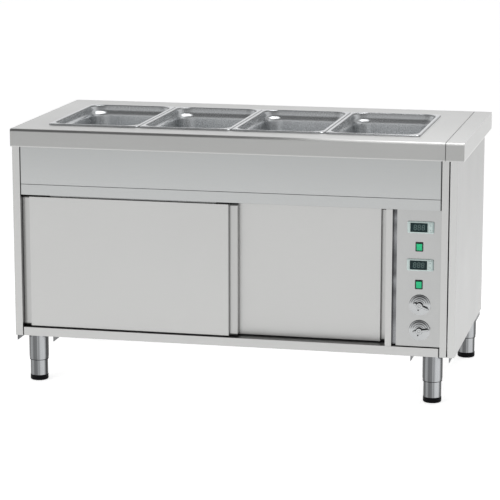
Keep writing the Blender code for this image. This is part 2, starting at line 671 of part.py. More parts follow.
def build_door_track():
    """One extrusion with a channel for each door; the wheels run on its two ledges."""
    front, back = LEFT_DOOR_FRONT + 0.0010, FRONT + POST_RETURN - 0.0045
    middle = RIGHT_DOOR_FRONT + HANGER_Y - TRACK_BEFORE_HANGER
    top = HEADER_Z[1] - SHEET - GAP
    roof, low = top - TRACK_SHEET, LEDGE_Z - TRACK_SHEET
    outline = [(front, top)]
    for web in (front, middle):
        outline += [
            (web, low), (web + TRACK_LEDGE, low), (web + TRACK_LEDGE, LEDGE_Z),
            (web + TRACK_SHEET, LEDGE_Z), (web + TRACK_SHEET, roof),
        ]
        if web == front:
            outline.append((middle, roof))
    outline += [(back - TRACK_SHEET, roof), (back - TRACK_SHEET, low), (back, low), (back, top)]
    bm = bmesh.new()
    prism(bm, outline, BETWEEN_POSTS[0] + SHEET + GAP, PARTITION_POST[1] - 0.001, ALONG_X)
    add_object("door_track", mesh_of("door_track", bm), "aluminium")


# ---------------------------------------------------------------- controls
def build_control_panel():
    setback = PANEL_Y + PANEL_RETURN
    plan = [
        (PARTITION_POST[1] + GAP, setback), (PANEL_X[0], setback), (PANEL_X[0], PANEL_Y),
        (PANEL_X[1], PANEL_Y), (PANEL_X[1], setback),
    ]
    panel = folded_sheet("control_panel", plan, *PANEL_Z, "steel")
    y0, y1 = PANEL_Y - PIERCE, PANEL_Y + PIERCE
    holes = bmesh.new()
    for z in THERMOSTATS.values():
        slab(holes, THERMOSTAT_X, z, THERMOSTAT_HOLE, y0, y1)
    for z in SWITCHES.values():
        slab(holes, SWITCH_X, z, SWITCH_HOLE, y0, y1)
    for z in VALVES.values():
        cylinder(holes, (VALVE_X, PANEL_Y, z), SPINDLE_R + SPINDLE_PLAY, 2 * PIERCE, "Y", 24)
    cut(panel, add_object("panel_holes", mesh_of("panel_holes", holes), None))


def build_thermostat(name, z):
    """A panel-mounted controller: its case, the window over its display and its setting key."""
    face = PANEL_Y - BEZEL_PROUD
    bm = bmesh.new()
    slab(bm, THERMOSTAT_X, z, THERMOSTAT_SIZE, face, PANEL_Y - GAP)
    case = add_object(f"{name}_case", mesh_of(name, bm), "pale_plastic")
    add_modifier(case, "BEVEL", width=0.0015, segments=2)
    body = bmesh.new()
    slab(body, THERMOSTAT_X, z, THERMOSTAT_BODY, PANEL_Y - 0.004, PANEL_Y + THERMOSTAT_DEPTH)
    join(case, add_object(f"{name}_body", mesh_of(name, body), None))
    pockets = bmesh.new()
    mouth = face - PIERCE
    cube(pockets, (WINDOW_X[0], mouth, z - WINDOW_HALF), (WINDOW_X[1], face + WINDOW_POCKET, z + WINDOW_HALF))
    cube(pockets, (KEY_X[0], mouth, z - KEY_HALF), (KEY_X[1], face + KEY_POCKET, z + KEY_HALF))
    cut(case, add_object(f"{name}_pockets", mesh_of(name, pockets), None))
    box(
        f"{name}_window", (WINDOW_X[0] + GAP, face + WINDOW_SET_BACK, z - WINDOW_HALF + GAP),
        (WINDOW_X[1] - GAP, face + WINDOW_POCKET - GAP, z + WINDOW_HALF - GAP), "dark_lens",
    )
    half = KEY_HALF - KEY_PLAY
    key = box(
        f"{name}_key", (KEY_X[0] + KEY_PLAY, face - KEY_PROUD, z - half),
        (KEY_X[1] - KEY_PLAY, face + KEY_BACK, z + half), "pale_plastic", (sum(KEY_X) / 2, face, z),
    )
    add_modifier(key, "BEVEL", width=0.0005, segments=2)


def build_switch(name, z):
    """A rocker switch: its frame snaps into the panel, and the rocker tips about a level axis."""
    bm = bmesh.new()
    slab(bm, SWITCH_X, z, SWITCH_SIZE, PANEL_Y - SWITCH_PROUD, PANEL_Y - GAP)
    frame = add_object(f"{name}_frame", mesh_of(name, bm), "black_plastic")
    add_modifier(frame, "BEVEL", width=0.0008, segments=2)
    body, pocket = bmesh.new(), bmesh.new()
    slab(body, SWITCH_X, z, SWITCH_BODY, PANEL_Y - 0.001, PANEL_Y + SWITCH_DEPTH)
    join(frame, add_object(f"{name}_body", mesh_of(name, body), None))
    slab(pocket, SWITCH_X, z, SWITCH_POCKET, PANEL_Y - PIERCE, PANEL_Y + POCKET_DEPTH)
    cut(frame, add_object(f"{name}_pocket", mesh_of(name, pocket), None))
    half_width, half_height = SWITCH_POCKET[0] / 2 - 0.0004, SWITCH_POCKET[1] / 2 - 0.0012
    crest, shoulder, root = -0.0078, -0.0050, 0.0030
    outline = [
        (root, -0.006), (shoulder, -half_height), (crest, -half_height), (crest + 0.0016, 0),
        (crest, half_height), (shoulder, half_height), (root, 0.006),
    ]
    pivot = (SWITCH_X, PANEL_Y + ROCKER_PIVOT, z)
    turn = Matrix.Translation(pivot) @ Matrix.Rotation(ROCKER_TILT, 4, "X") @ ALONG_X
    rocker = bmesh.new()
    prism(rocker, outline, -half_width, half_width, turn)
    add_object(f"{name}_rocker", mesh_of(name, rocker), "green_lens", pivot)


def build_rosette(name, z):
    """A domed plate of even thickness on the panel, with a hole for the valve's spindle."""
    bore, steps = SPINDLE_R + SPINDLE_PLAY, 7
    radii = [bore + (ROSETTE_R - bore) * i / steps for i in range(steps + 1)]
    outside = [(r, GAP + ROSETTE_H * (1 - (r / ROSETTE_R) ** 2)) for r in radii]
    inside = [(r, h - ROSETTE_SHEET) for r, h in outside if h > GAP + ROSETTE_SHEET]
    rim = [(ROSETTE_R, GAP), (inside[-1][0] + 0.0010, GAP)]
    profile = outside[:-1] + rim + inside[::-1] + outside[:1]
    turned(name, profile, (VALVE_X, PANEL_Y, z), "bright_steel", 36, axis="Y")


def build_lever(name, z, tilt):
    """A hub with a short and a long arm, on the spindle that reaches back to the valve's barrel."""
    spindle_end = VALVE_Y - BARREL_R - PANEL_Y - 0.0005
    profile = [
        (0.0000, HUB_FRONT), (HUB_R - 0.0030, HUB_FRONT), (HUB_R, HUB_FRONT - 0.0025), (HUB_R, HUB_BACK),
        (SPINDLE_R, HUB_BACK), (SPINDLE_R, -spindle_end), (0.0000, -spindle_end),
    ]
    lever = turned(name, profile, (VALVE_X, PANEL_Y, z), "bright_steel", 32, axis="Y")
    lever.rotation_euler = (math.pi / 2, math.radians(tilt), 0)
    upper = [
        (0.0355, 0.0000), (0.0340, 0.0040), (0.0080, 0.0060),
        (-0.0080, 0.0060), (-0.0210, 0.0045), (-0.0225, 0.0000),
    ]
    lower = [(u, -v) for u, v in upper[-2:0:-1]]
    bm = bmesh.new()
    prism(bm, upper + lower, *ARM_LAYER, ALONG_Z)
    arms = add_object(f"{name}_arms", mesh_of(name, bm), None)
    arms.location = lever.location
    arms.rotation_euler = lever.rotation_euler
    join(lever, arms)


def build_controls():
    build_control_panel()
    for name, z in THERMOSTATS.items():
        build_thermostat(name, z)
    for name, z in SWITCHES.items():
        build_switch(name, z)
    for name, z in VALVES.items():
        build_rosette(f"{name}_rosette", z)
        build_lever(f"{name}_lever", z, VALVE_TILTS[name])


# ---------------------------------------------------------------- legs
def build_leg(name, x, y, channel_x):
    """A leg welded under its channel: an upper tube, the tube that slides in it, and the foot's cap."""
    top, bore = BODY_Z0 - GAP, LEG_INNER_R + LEG_PLAY
    upper_profile = [
        (0.0000, top - 0.0006), (LEG_R, top - 0.0006), (LEG_R, LEG_JOINT_Z + 0.007),
        (LEG_R - 0.0016, LEG_JOINT_Z), (bore, LEG_JOINT_Z), (bore, top - 0.006), (0.0000, top - 0.006),
    ]
    mount = turned(f"leg_mount_{name}", upper_profile, (x, y, 0), "steel", 36)
    inward = 1 if y < 0 else -1
    outer_end = y - inward * CHANNEL_AHEAD
    low_y, high_y = sorted((outer_end, outer_end + inward * CHANNEL_LENGTH))
    left, right = channel_x - CHANNEL_WIDTH / 2, channel_x + CHANNEL_WIDTH / 2
    hem, web = top - CHANNEL_DROP, top - CHANNEL_SHEET
    channel = [
        (left, top), (left, hem), (left + CHANNEL_SHEET, hem), (left + CHANNEL_SHEET, web),
        (right - CHANNEL_SHEET, web), (right - CHANNEL_SHEET, hem), (right, hem), (right, top),
    ]
    bm = bmesh.new()
    prism(bm, channel, low_y, high_y, ALONG_Y)
    join(mount, add_object(f"channel_{name}", mesh_of("channel", bm), None))
    inner, low = LEG_INNER_R - LEG_WALL, FOOT_H + GAP
    tube_profile = [(LEG_INNER_R, LEG_TOP), (LEG_INNER_R, low), (inner, low), (inner, LEG_TOP)]
    tube_profile.append(tube_profile[0])
    turned(f"leg_tube_{name}", tube_profile, (x, y, 0), "steel", 36)
    foot_profile = [
        (0.0000, FOOT_H), (FOOT_R - 0.0010, FOOT_H), (FOOT_R, FOOT_H - 0.001), (FOOT_R, 0.0060),
        (FOOT_R - 0.0040, 0.0000), (0.0000, 0.0000),
    ]
    turned(f"foot_{name}", foot_profile, (x, y, 0), "black_plastic", 36)


build_worktop()
build_tank()
build_support_grid()
build_pans()
build_heaters()
build_sides()
build_front()
build_back_and_base()
build_cupboard()
build_door_guide()
build_door_track()
build_door("left_door", LEFT_DOOR_X, LEFT_DOOR_FRONT)
build_door("right_door", RIGHT_DOOR_X, RIGHT_DOOR_FRONT)
build_controls()
build_plumbing()
for leg, place in LEGS.items():
    build_leg(leg, *place)
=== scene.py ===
import json
import math

import bmesh
import bpy
from mathutils import Matrix, Vector

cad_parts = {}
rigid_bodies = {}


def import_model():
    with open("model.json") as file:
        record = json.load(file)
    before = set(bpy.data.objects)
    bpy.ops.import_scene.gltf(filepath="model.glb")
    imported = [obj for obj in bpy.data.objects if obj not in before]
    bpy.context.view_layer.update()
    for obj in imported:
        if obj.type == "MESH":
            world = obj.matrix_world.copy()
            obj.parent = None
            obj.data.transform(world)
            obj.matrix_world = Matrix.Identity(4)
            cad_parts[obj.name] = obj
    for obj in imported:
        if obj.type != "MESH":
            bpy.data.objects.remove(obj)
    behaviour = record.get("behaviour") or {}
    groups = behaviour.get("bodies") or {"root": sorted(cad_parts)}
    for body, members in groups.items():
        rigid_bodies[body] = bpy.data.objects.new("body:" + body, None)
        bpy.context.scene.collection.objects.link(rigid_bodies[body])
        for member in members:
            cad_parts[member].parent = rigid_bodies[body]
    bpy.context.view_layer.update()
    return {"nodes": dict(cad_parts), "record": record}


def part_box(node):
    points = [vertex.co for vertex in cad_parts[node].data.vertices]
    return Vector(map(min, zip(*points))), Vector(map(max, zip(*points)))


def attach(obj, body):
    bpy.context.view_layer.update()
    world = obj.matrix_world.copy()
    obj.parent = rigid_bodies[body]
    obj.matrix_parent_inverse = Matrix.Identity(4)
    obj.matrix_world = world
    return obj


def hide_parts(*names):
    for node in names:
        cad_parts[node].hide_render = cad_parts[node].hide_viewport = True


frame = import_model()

# All lengths are in metres. An outline's (u, v) are (x, z) once it lies along Y.
ALONG_Y = Matrix(((1, 0, 0, 0), (0, 0, 1, 0), (0, 1, 0, 0), (0, 0, 0, 1)))
BODY_OF = {
    node: body for body, nodes in frame["record"]["behaviour"]["bodies"].items() for node in nodes
}
SLOT_OF = {entry["node"]: entry["material_slot"] for entry in frame["record"]["subparts"]}


# ---------------------------------------------------------------- shader nodes
class Shader:
    """A new material's node tree, with short ways to add and join its nodes."""

    def __init__(self, name):
        self.material = bpy.data.materials.new(name)
        self.material.use_nodes = True
        self.nodes = self.material.node_tree.nodes
        self.links = self.material.node_tree.links
        self.surface = self.nodes["Principled BSDF"]

    def add(self, kind, **settings):
        node = self.nodes.new(kind)
        for key, value in settings.items():
            setattr(node, key, value)
        return node

    def join(self, source, target):
        self.links.new(source, target)

    def feed(self, name, source):
        self.join(source, self.surface.inputs[name])

    def constants(self, **values):
        for name, value in values.items():
            self.surface.inputs[name.replace("_", " ")].default_value = value

    def place(self):
        return self.add("ShaderNodeTexCoord").outputs["Object"]

    def normal(self):
        return self.add("ShaderNodeNewGeometry").outputs["Normal"]

    def noise(self, scale, detail=3.0, stretch=(1, 1, 1), rough=0.55):
        mapping = self.add("ShaderNodeMapping")
        mapping.inputs["Scale"].default_value = stretch
        self.join(self.place(), mapping.inputs["Vector"])
        noise = self.add("ShaderNodeTexNoise")
        noise.inputs["Scale"].default_value = scale
        noise.inputs["Detail"].default_value = detail
        noise.inputs["Roughness"].default_value = rough
        self.join(mapping.outputs["Vector"], noise.inputs["Vector"])
        return noise.outputs["Fac"]

    def spread(self, value, low, high, source=(0.0, 1.0)):
        """value, which runs over source, mapped onto low to high."""
        remap = self.add("ShaderNodeMapRange")
        remap.inputs["From Min"].default_value = source[0]
        remap.inputs["From Max"].default_value = source[1]
        remap.inputs["To Min"].default_value = low
        remap.inputs["To Max"].default_value = high
        self.join(value, remap.inputs["Value"])
        return remap.outputs["Result"]

    def ramp(self, value, stops):
        """value looked up in stops, a list of (value, grey) from 0 to 1."""
        ramp = self.add("ShaderNodeValToRGB")
        for index, (place, grey) in enumerate(stops):
            elements = ramp.color_ramp.elements
            stop = elements[index] if index < 2 else elements.new(place)
            stop.position = place
            stop.color = (grey, grey, grey, 1)
        self.join(value, ramp.inputs["Fac"])
        return ramp.outputs["Color"]

    def math(self, operation, first, second):
        node = self.add("ShaderNodeMath", operation=operation)
        for socket, value in zip(node.inputs, (first, second)):
            if isinstance(value, (int, float)):
                socket.default_value = value
            else:
                self.join(value, socket)
        return node.outputs[0]

    def times(self, first, second):
        return self.math("MULTIPLY", first, second)

    def less(self, first, second):
        return self.math("SUBTRACT", first, second)

    def size(self, value):
        return self.math("ABSOLUTE", value, 0.0)

    def tint(self, colour, factor):
        """colour times factor, a grey value that varies over the surface."""
        scale = self.add("ShaderNodeVectorMath", operation="SCALE")
        scale.inputs[0].default_value = colour
        self.join(factor, scale.inputs["Scale"])
        return scale.outputs["Vector"]

    def bump(self, height, strength, distance):
        bump = self.add("ShaderNodeBump")
        bump.inputs["Strength"].default_value = strength
        bump.inputs["Distance"].default_value = distance
        self.join(height, bump.inputs["Height"])
        self.feed("Normal", bump.outputs["Normal"])

    def along(self, axis):
        """How far along an axis a point lies, in its piece's own frame."""
        split = self.add("ShaderNodeSeparateXYZ")
        self.join(self.place(), split.inputs[0])
        return split.outputs[axis]

    def facing(self, axis):
        """How far the surface faces an axis, from -1 to 1."""
        split = self.add("ShaderNodeSeparateXYZ")
        self.join(self.normal(), split.inputs[0])
        return split.outputs[axis]


# ---------------------------------------------------------------- tones: painted light and shade
# A tone is a grey factor on the metal's colour; most below paint shade, highlights and reflections into it.
# Stops are (share of the range, grey).
# painted shade on the fascia's front and side faces, a painted highlight along its fold, and the seam's dark
# line
FASCIA_FRONT_PAINTED_SHADE, FASCIA_SIDE_PAINTED_SHADE, FOLD_PAINTED_HIGHLIGHT, SEAM_TONE = 0.64, 0.86, 1.40, 0.40
# painted shade on the end sheets' right faces, in the open joints, under the apron's edge, at the door
# notches and on the pans' turned rims
END_FACE_PAINTED_SHADE, JOINT_PAINTED_SHADE, APRON_TOP_PAINTED_SHADE, NOTCH_PAINTED_SHADE, PAN_EDGE_PAINTED_SHADE = 0.75, 0.14, 0.90, 0.88, 0.62
TO_FRONT, TO_RIGHT = (-0.95, -0.35), (0.5, 0.95)     # ranges over which a face counts as turned
FOLD_HIGHLIGHT_BAND, SEAM_BAND, JOINT_SHADE_BAND = (0.0022, 0.0046), (0.0008, 0.0022), (0.0034, 0.0018)
NOTCH_SHADE_BAND = (0.0062, 0.0050)
APRON_SHADED_OVER = (0.72, 0.84)
FOLD_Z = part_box("worktop")[0].z
SEAM_X = (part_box("worktop")[1].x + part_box("end_strip")[0].x) / 2
JOINTS_X = (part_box("apron_panel")[0].x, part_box("apron_panel")[1].x)
RECESS_Z = (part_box("control_panel")[0].z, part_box("control_panel")[1].z)
FINGER_STRIP = 0.0300
RIGHT_SHADE_WIDTH = FINGER_STRIP * 1.16
STRIP_ENDS_OVER = (FINGER_STRIP * 0.86, FINGER_STRIP * 0.94)
# painted shade across the doors' finger strips, from their left and right edges
LEFT_SHADE = ((0.0, 0.52), (0.12, 0.58), (0.27, 0.66), (0.34, 0.88), (0.84, 0.91), (0.90, 1.0))
RIGHT_SHADE = ((0.0, 0.93), (0.66, 0.93), (0.78, 0.60), (0.84, 0.54), (0.88, 1.0))
# painted reflections of the room, in bands up the channel beside the door
RECESS_PAINTED_BANDS = (
    (0.0, 1.05), (0.12, 1.0), (0.21, 0.62), (0.31, 0.85), (0.39, 0.52), (0.47, 1.10), (0.52, 0.46),
    (0.58, 0.66), (0.65, 0.46), (0.73, 0.80), (0.79, 1.08), (0.88, 0.58), (0.925, 1.0), (0.97, 0.42),
    (1.0, 0.36),
)
VALVE_SLOPES = (1.0, 0.915)          # how squarely the rosette faces front, from its middle to its rim
VALVE_LEANS = (0.015, 0.11)
# painted reflections: dark rings on the rosettes' upper halves
VALVE_REFLECTED_RINGS = (
    (0.0, 1.0), (0.13, 1.0), (0.17, 0.30), (0.22, 1.0), (0.29, 1.0), (0.34, 0.22), (0.41, 0.95),
    (0.49, 0.95), (0.55, 0.20), (0.62, 0.90), (0.70, 0.90), (0.76, 0.24), (0.84, 0.85), (0.90, 0.30),
    (1.0, 0.20),
)
# painted shade below the pans' rims and on their turned-over sides
PAN_SHADE_BAND_Z, PAN_RIM_Z, PAN_TURNS_OVER = (0.860, 0.910), (0.8990, 0.9005), (0.35, 0.80)
PAN_SHADE_BANDS = ((0.0, 1.0), (0.30, 0.98), (0.38, 0.84), (0.80, 0.80), (0.86, 0.95), (0.90, 1.00))
# painted reflections: bands down the legs, set by which way the surface faces
LEG_ACROSS = (0.976, 0.219, 0)
LEG_REFLECTED_BANDS = (
    (0.0, 0.20), (0.08, 0.24), (0.13, 0.66), (0.21, 0.60), (0.26, 0.32), (0.43, 0.36), (0.47, 0.72),
    (0.53, 0.50), (0.57, 0.80), (0.62, 1.05), (0.80, 1.10), (0.85, 0.66), (0.90, 0.13), (1.0, 0.10),
)


def fascia_painted_light_and_seam(shader):
    """Painted shade and highlight: the turned-down edges are darker than the deck where they face the front
    and the right, their fold carries a painted highlight, and the seam is dark.
    """
    front = shader.spread(shader.facing("Y"), FASCIA_FRONT_PAINTED_SHADE, 1.0, TO_FRONT)
    side = shader.spread(shader.facing("X"), 1.0, FASCIA_SIDE_PAINTED_SHADE, TO_RIGHT)
    fold_highlight_range = (FOLD_Z + FOLD_HIGHLIGHT_BAND[0], FOLD_Z + FOLD_HIGHLIGHT_BAND[1])
    fold_highlight = shader.spread(shader.along("Z"), FOLD_PAINTED_HIGHLIGHT, 1.0, fold_highlight_range)
    from_seam = shader.size(shader.less(shader.along("X"), SEAM_X))
    seam = shader.spread(from_seam, SEAM_TONE, 1.0, SEAM_BAND)
    return shader.times(shader.times(front, side), shader.times(fold_highlight, seam))


def end_painted_shade(shader):
    """Painted shade: the end sheets' faces towards the right are darker than their front edges."""
    return shader.spread(shader.facing("X"), 1.0, END_FACE_PAINTED_SHADE, TO_RIGHT)


def joint_painted_shade(shader):
    """Painted shade: the open joints beside the posts are dark."""
    low, high = JOINTS_X
    reach = (high - low) / 2
    off_middle = shader.size(shader.less(shader.along("X"), (low + high) / 2))
    return shader.spread(off_middle, 1.0, JOINT_PAINTED_SHADE, (reach - JOINT_SHADE_BAND[0], reach - JOINT_SHADE_BAND[1]))


def apron_painted_shade(shader):
    """Painted shade under the overhanging edge: the apron is darker towards it."""
    overhang_shade = shader.spread(shader.along("Z"), 1.0, APRON_TOP_PAINTED_SHADE, APRON_SHADED_OVER)
    return shader.times(overhang_shade, joint_painted_shade(shader))


def door_painted_shade(node):
    """Painted shade on a door's finger strips: cast by the post, by the raised panel's edge and at top and
    bottom.
    """
    low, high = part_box(node)

    def painted_light(shader):
        from_left = shader.less(shader.along("X"), low.x)
        left = shader.ramp(shader.spread(from_left, 0.0, 1.0, (0.0, FINGER_STRIP)), LEFT_SHADE)
        from_right = shader.less(high.x, shader.along("X"))
        right = shader.ramp(shader.spread(from_right, 0.0, 1.0, (0.0, RIGHT_SHADE_WIDTH)), RIGHT_SHADE)
        off_middle = shader.less(shader.along("Z"), (low.z + high.z) / 2)
        reach = (high.z - low.z) / 2
        end_range = (reach - NOTCH_SHADE_BAND[0], reach - NOTCH_SHADE_BAND[1])
        ends = shader.spread(shader.size(off_middle), 0.0, 1.0, end_range)
        nearest = shader.math("MINIMUM", from_left, from_right)
        strip = shader.spread(nearest, 1.0, 0.0, STRIP_ENDS_OVER)
        notch_shade = shader.less(1.0, shader.times(shader.times(ends, strip), NOTCH_PAINTED_SHADE))
        return shader.times(shader.times(left, right), notch_shade)
    return painted_light


def recess_painted_reflection(shader):
    """Painted reflection: the channel beside the door mirrors the room in uneven bands up its height."""
    return shader.ramp(shader.spread(shader.along("Z"), 0.0, 1.0, RECESS_Z), RECESS_PAINTED_BANDS)


def valve_painted_reflection(shader):
    """Painted reflections of the dark ceiling: dark rings where the spun metal leans back and faces up."""
    slope = shader.spread(shader.size(shader.facing("Y")), 0.0, 1.0, VALVE_SLOPES)
    marks = shader.less(1.0, shader.ramp(slope, VALVE_REFLECTED_RINGS))
    leaning = shader.spread(shader.facing("Z"), 0.0, 1.0, VALVE_LEANS)
    return shader.less(1.0, shader.times(marks, leaning))


def pan_painted_shade(shader):
    """Painted shade: below its rim a pan is darker than its drawn wall, and its rim darkens where it turns
    over at the sides.
    """
    wall_shade = shader.ramp(shader.spread(shader.along("Z"), 0.0, 1.0, PAN_SHADE_BAND_Z), PAN_SHADE_BANDS)
    turned = shader.spread(shader.size(shader.facing("X")), 0.0, PAN_EDGE_PAINTED_SHADE, PAN_TURNS_OVER)
    at_rim = shader.spread(shader.along("Z"), 0.0, 1.0, PAN_RIM_Z)
    edge = shader.less(1.0, shader.times(turned, at_rim))
    return shader.times(wall_shade, edge)


def leg_painted_reflection(shader):
    """Painted reflections: broad bands of darker and brighter metal down the tube's length, set by which way
    the surface faces.
    """
    across = shader.add("ShaderNodeVectorMath", operation="DOT_PRODUCT")
    across.inputs[1].default_value = LEG_ACROSS
    shader.join(shader.normal(), across.inputs[0])
    return shader.ramp(shader.spread(across.outputs["Value"], 0.0, 1.0, (-1.0, 1.0)), LEG_REFLECTED_BANDS)


# ---------------------------------------------------------------- materials
GRAIN = {"x": (1, 90, 90), "y": (90, 1, 90), "z": (90, 90, 1), "none": (40, 40, 40)}
SCRATCH_SCALE, SMEAR_SCALE = 14.0, 3.2
SCRATCH_DEPTH, GRAIN_DEPTH = 0.0004, 0.0002
PLASTIC_GRAIN, PLASTIC_SMEARS, PLASTIC_RELIEF = 900.0, 25.0, 0.05
SHEET, COOL_SHEET = (0.533, 0.534, 0.526), (0.490, 0.500, 0.498)
SATIN, FINE_SATIN = (0.30, 0.42), (0.28, 0.40)

# name: colour, direction of the scratches, range of roughness, relief, tone (painted light and shade), depth
# of the smears
METALS = {
    "worktop_steel": ((0.62, 0.622, 0.612), "x", (0.26, 0.40), 0.10, fascia_painted_light_and_seam, 0.05),
    "panel_steel": (SHEET, "x", SATIN, 0.07, None, 0.02),
    "apron_steel": (COOL_SHEET, "x", FINE_SATIN, 0.07, apron_painted_shade, 0.02),
    "post_steel": (SHEET, "z", FINE_SATIN, 0.07, end_painted_shade, 0.02),
    "left_door_steel": (SHEET, "x", SATIN, 0.07, door_painted_shade("left_door"), 0.02),
    "right_door_steel": (SHEET, "x", SATIN, 0.07, door_painted_shade("right_door"), 0.02),
    "sill_steel": (SHEET, "x", SATIN, 0.07, joint_painted_shade, 0.02),
    "end_steel": ((0.576, 0.578, 0.570), "z", FINE_SATIN, 0.07, end_painted_shade, 0.02),
    "control_steel": ((0.470, 0.474, 0.470), "z", FINE_SATIN, 0.07, None, 0.10),
    # a dark steel that stands in for the shade in the channel beside the partition, with painted reflections
    "recess_steel": ((0.27, 0.275, 0.285), "z", (0.20, 0.34), 0.10, recess_painted_reflection, 0.05),
    "bracket_steel": ((0.135, 0.14, 0.145), "x", (0.34, 0.46), 0.08, None, 0.05),
    "inner_steel": ((0.48, 0.49, 0.49), "y", (0.38, 0.52), 0.08, None, 0.05),
    "pan_steel": ((0.61, 0.625, 0.635), "z", (0.20, 0.32), 0.05, pan_painted_shade, 0.05),
    "leg_steel": ((0.405, 0.415, 0.425), "z", (0.16, 0.26), 0.08, leg_painted_reflection, 0.12),
    "valve_chrome": ((0.47, 0.48, 0.485), "none", (0.06, 0.14), 0.02, valve_painted_reflection, 0.05),
    "aluminium": ((0.62, 0.63, 0.64), "x", (0.35, 0.5), 0.06, None, 0.05),
    "brass": ((0.60, 0.45, 0.20), "none", (0.30, 0.45), 0.05, None, 0.05),
}
# name: colour, roughness, gloss
PLASTICS = {
    "black_plastic": ((0.016, 0.017, 0.018), 0.42, 0.5),
    "foot_black": ((0.004, 0.004, 0.005), 0.50, 0.06),
    # a darker copy of pale_plastic: painted shade on the thermostats' right ends
    "pale_shade": ((0.30, 0.40, 0.395), 0.40, 0.5),
    "pale_plastic": ((0.56, 0.66, 0.64), 0.38, 0.5),
    "segment": ((0.15, 0.22, 0.21), 0.4, 0.2),
    "marking": ((0.26, 0.34, 0.335), 0.5, 0.2),
}


def brushed(name, colour, grain, roughness, relief, painted_light, cloud):
    """Satin metal: fine scratches along one axis, faint smears and a slow change of tone, with painted light
    and shade where given.
    """
    shader = Shader(name)
    shader.constants(Metallic=1.0)
    lines = shader.noise(SCRATCH_SCALE, 4.0, GRAIN[grain], 0.65)
    smears = shader.noise(SMEAR_SCALE, 4.0, (1, 1, 1), 0.6)
    factor = shader.times(shader.spread(lines, 0.955, 1.045), shader.spread(smears, 1 - cloud, 1 + cloud))
    # painted shade, highlights and reflections, for the metals given them
    if painted_light:
        factor = shader.times(factor, painted_light(shader))
    shader.feed("Base Color", shader.tint(colour, factor))
    mixed = shader.math("ADD", shader.times(lines, 0.6), shader.times(smears, 0.4))
    shader.feed("Roughness", shader.spread(mixed, *roughness, (0.3, 0.7)))
    shader.bump(lines, relief, SCRATCH_DEPTH)
    return shader.material


def plastic(name, colour, roughness, gloss):
    """Moulded plastic with a fine grain and faint smears."""
    shader = Shader(name)
    shader.constants(Specular_IOR_Level=gloss)
    grain = shader.noise(PLASTIC_GRAIN, 2.0)
    smears = shader.noise(PLASTIC_SMEARS, 3.0)
    shader.feed("Base Color", shader.tint(colour, shader.spread(smears, 0.92, 1.08)))
    shader.feed("Roughness", shader.spread(smears, roughness - 0.06, roughness + 0.06))
    shader.bump(grain, PLASTIC_RELIEF, GRAIN_DEPTH)
    return shader.material


def lens(name, colour, pattern, shades, roughness, **values):
    """Glossy clear plastic over a colour, with a pattern given as a noise's scale, detail and stretch."""
    shader = Shader(name)
    shader.constants(**values)
    marks = shader.noise(*pattern)
    shader.feed("Base Color", shader.tint(colour, shader.spread(marks, *shades)))
    shader.feed("Roughness", shader.spread(marks, *roughness))
    return shader.material


MATERIALS = {name: brushed(name, *values) for name, values in METALS.items()}
MATERIALS.update({name: plastic(name, *values) for name, values in PLASTICS.items()})
MATERIALS["green_lens"] = lens(
    "green_lens", (0.02, 0.44, 0.20), (120.0, 1.0, (6, 1, 1)), (0.70, 1.25), (0.16, 0.30),
    Emission_Color=(0.01, 0.42, 0.16, 1), Emission_Strength=0.22, Specular_IOR_Level=0.3,
)
MATERIALS["dark_lens"] = lens(
    "dark_lens", (0.010, 0.026, 0.027), (60.0, 3.0), (0.7, 1.4), (0.10, 0.22), Specular_IOR_Level=0.14,
)


# ---------------------------------------------------------------- helpers
WELD = 0.00002
FOLD_RADIUS = 0.0014


def new_piece(name, mesh, body, look, slot, *nodes):
    piece = bpy.data.objects.new(name, mesh)
    bpy.context.scene.collection.objects.link(piece)
    mesh.materials.clear()
    mesh.materials.append(MATERIALS[look])
    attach(piece, body)
    if nodes:
        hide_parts(*nodes)
    return piece


def smooth(mesh, degrees):
    mesh.shade_smooth()
    mesh.set_sharp_from_angle(angle=math.radians(degrees))


def mesh_from(bm, name):
    bmesh.ops.recalc_face_normals(bm, faces=bm.faces)
    mesh = bpy.data.meshes.new(name)
    bm.to_mesh(mesh)
    bm.free()
    return mesh


def add_piece(bm, name, node, look, slot, degrees=None, stands_in=True):
    """A piece that rides on node's body and stands in for node, unless it is a marking on another piece."""
    mesh = mesh_from(bm, name)
    piece = new_piece(name, mesh, BODY_OF[node], look, slot, *([node] if stands_in else []))
    if degrees:
        smooth(mesh, degrees)
    return piece


def bevel(piece, width, segments=3, degrees=30):
    modifier = piece.modifiers.new("edges", "BEVEL")
    modifier.width, modifier.segments = width, segments
    modifier.limit_method = "ANGLE"
    modifier.angle_limit = math.radians(degrees)


def welded(source):
    """A bmesh of a CAD node with its split corners joined and its flat faces whole."""
    bm = bmesh.new()
    bm.from_mesh(source.data)
    bmesh.ops.remove_doubles(bm, verts=bm.verts, dist=WELD)
    bmesh.ops.dissolve_limit(bm, angle_limit=math.radians(0.5), verts=bm.verts, edges=bm.edges)
    return bm


def round_fold(bm, height, radius):
    """The outer edge at the foot of a turned-down rim, rounded as a folded sheet is."""
    outer = max(abs(v.co.y) for v in bm.verts)

    def on_fold(vert):
        return abs(vert.co.z - height) < 1e-5 and abs(abs(vert.co.y) - outer) < 1e-5

    edges = [edge for edge in bm.edges if all(on_fold(vert) for vert in edge.verts)]
    bmesh.ops.bevel(bm, geom=edges, offset=radius, segments=4, affect="EDGES", profile=0.5)


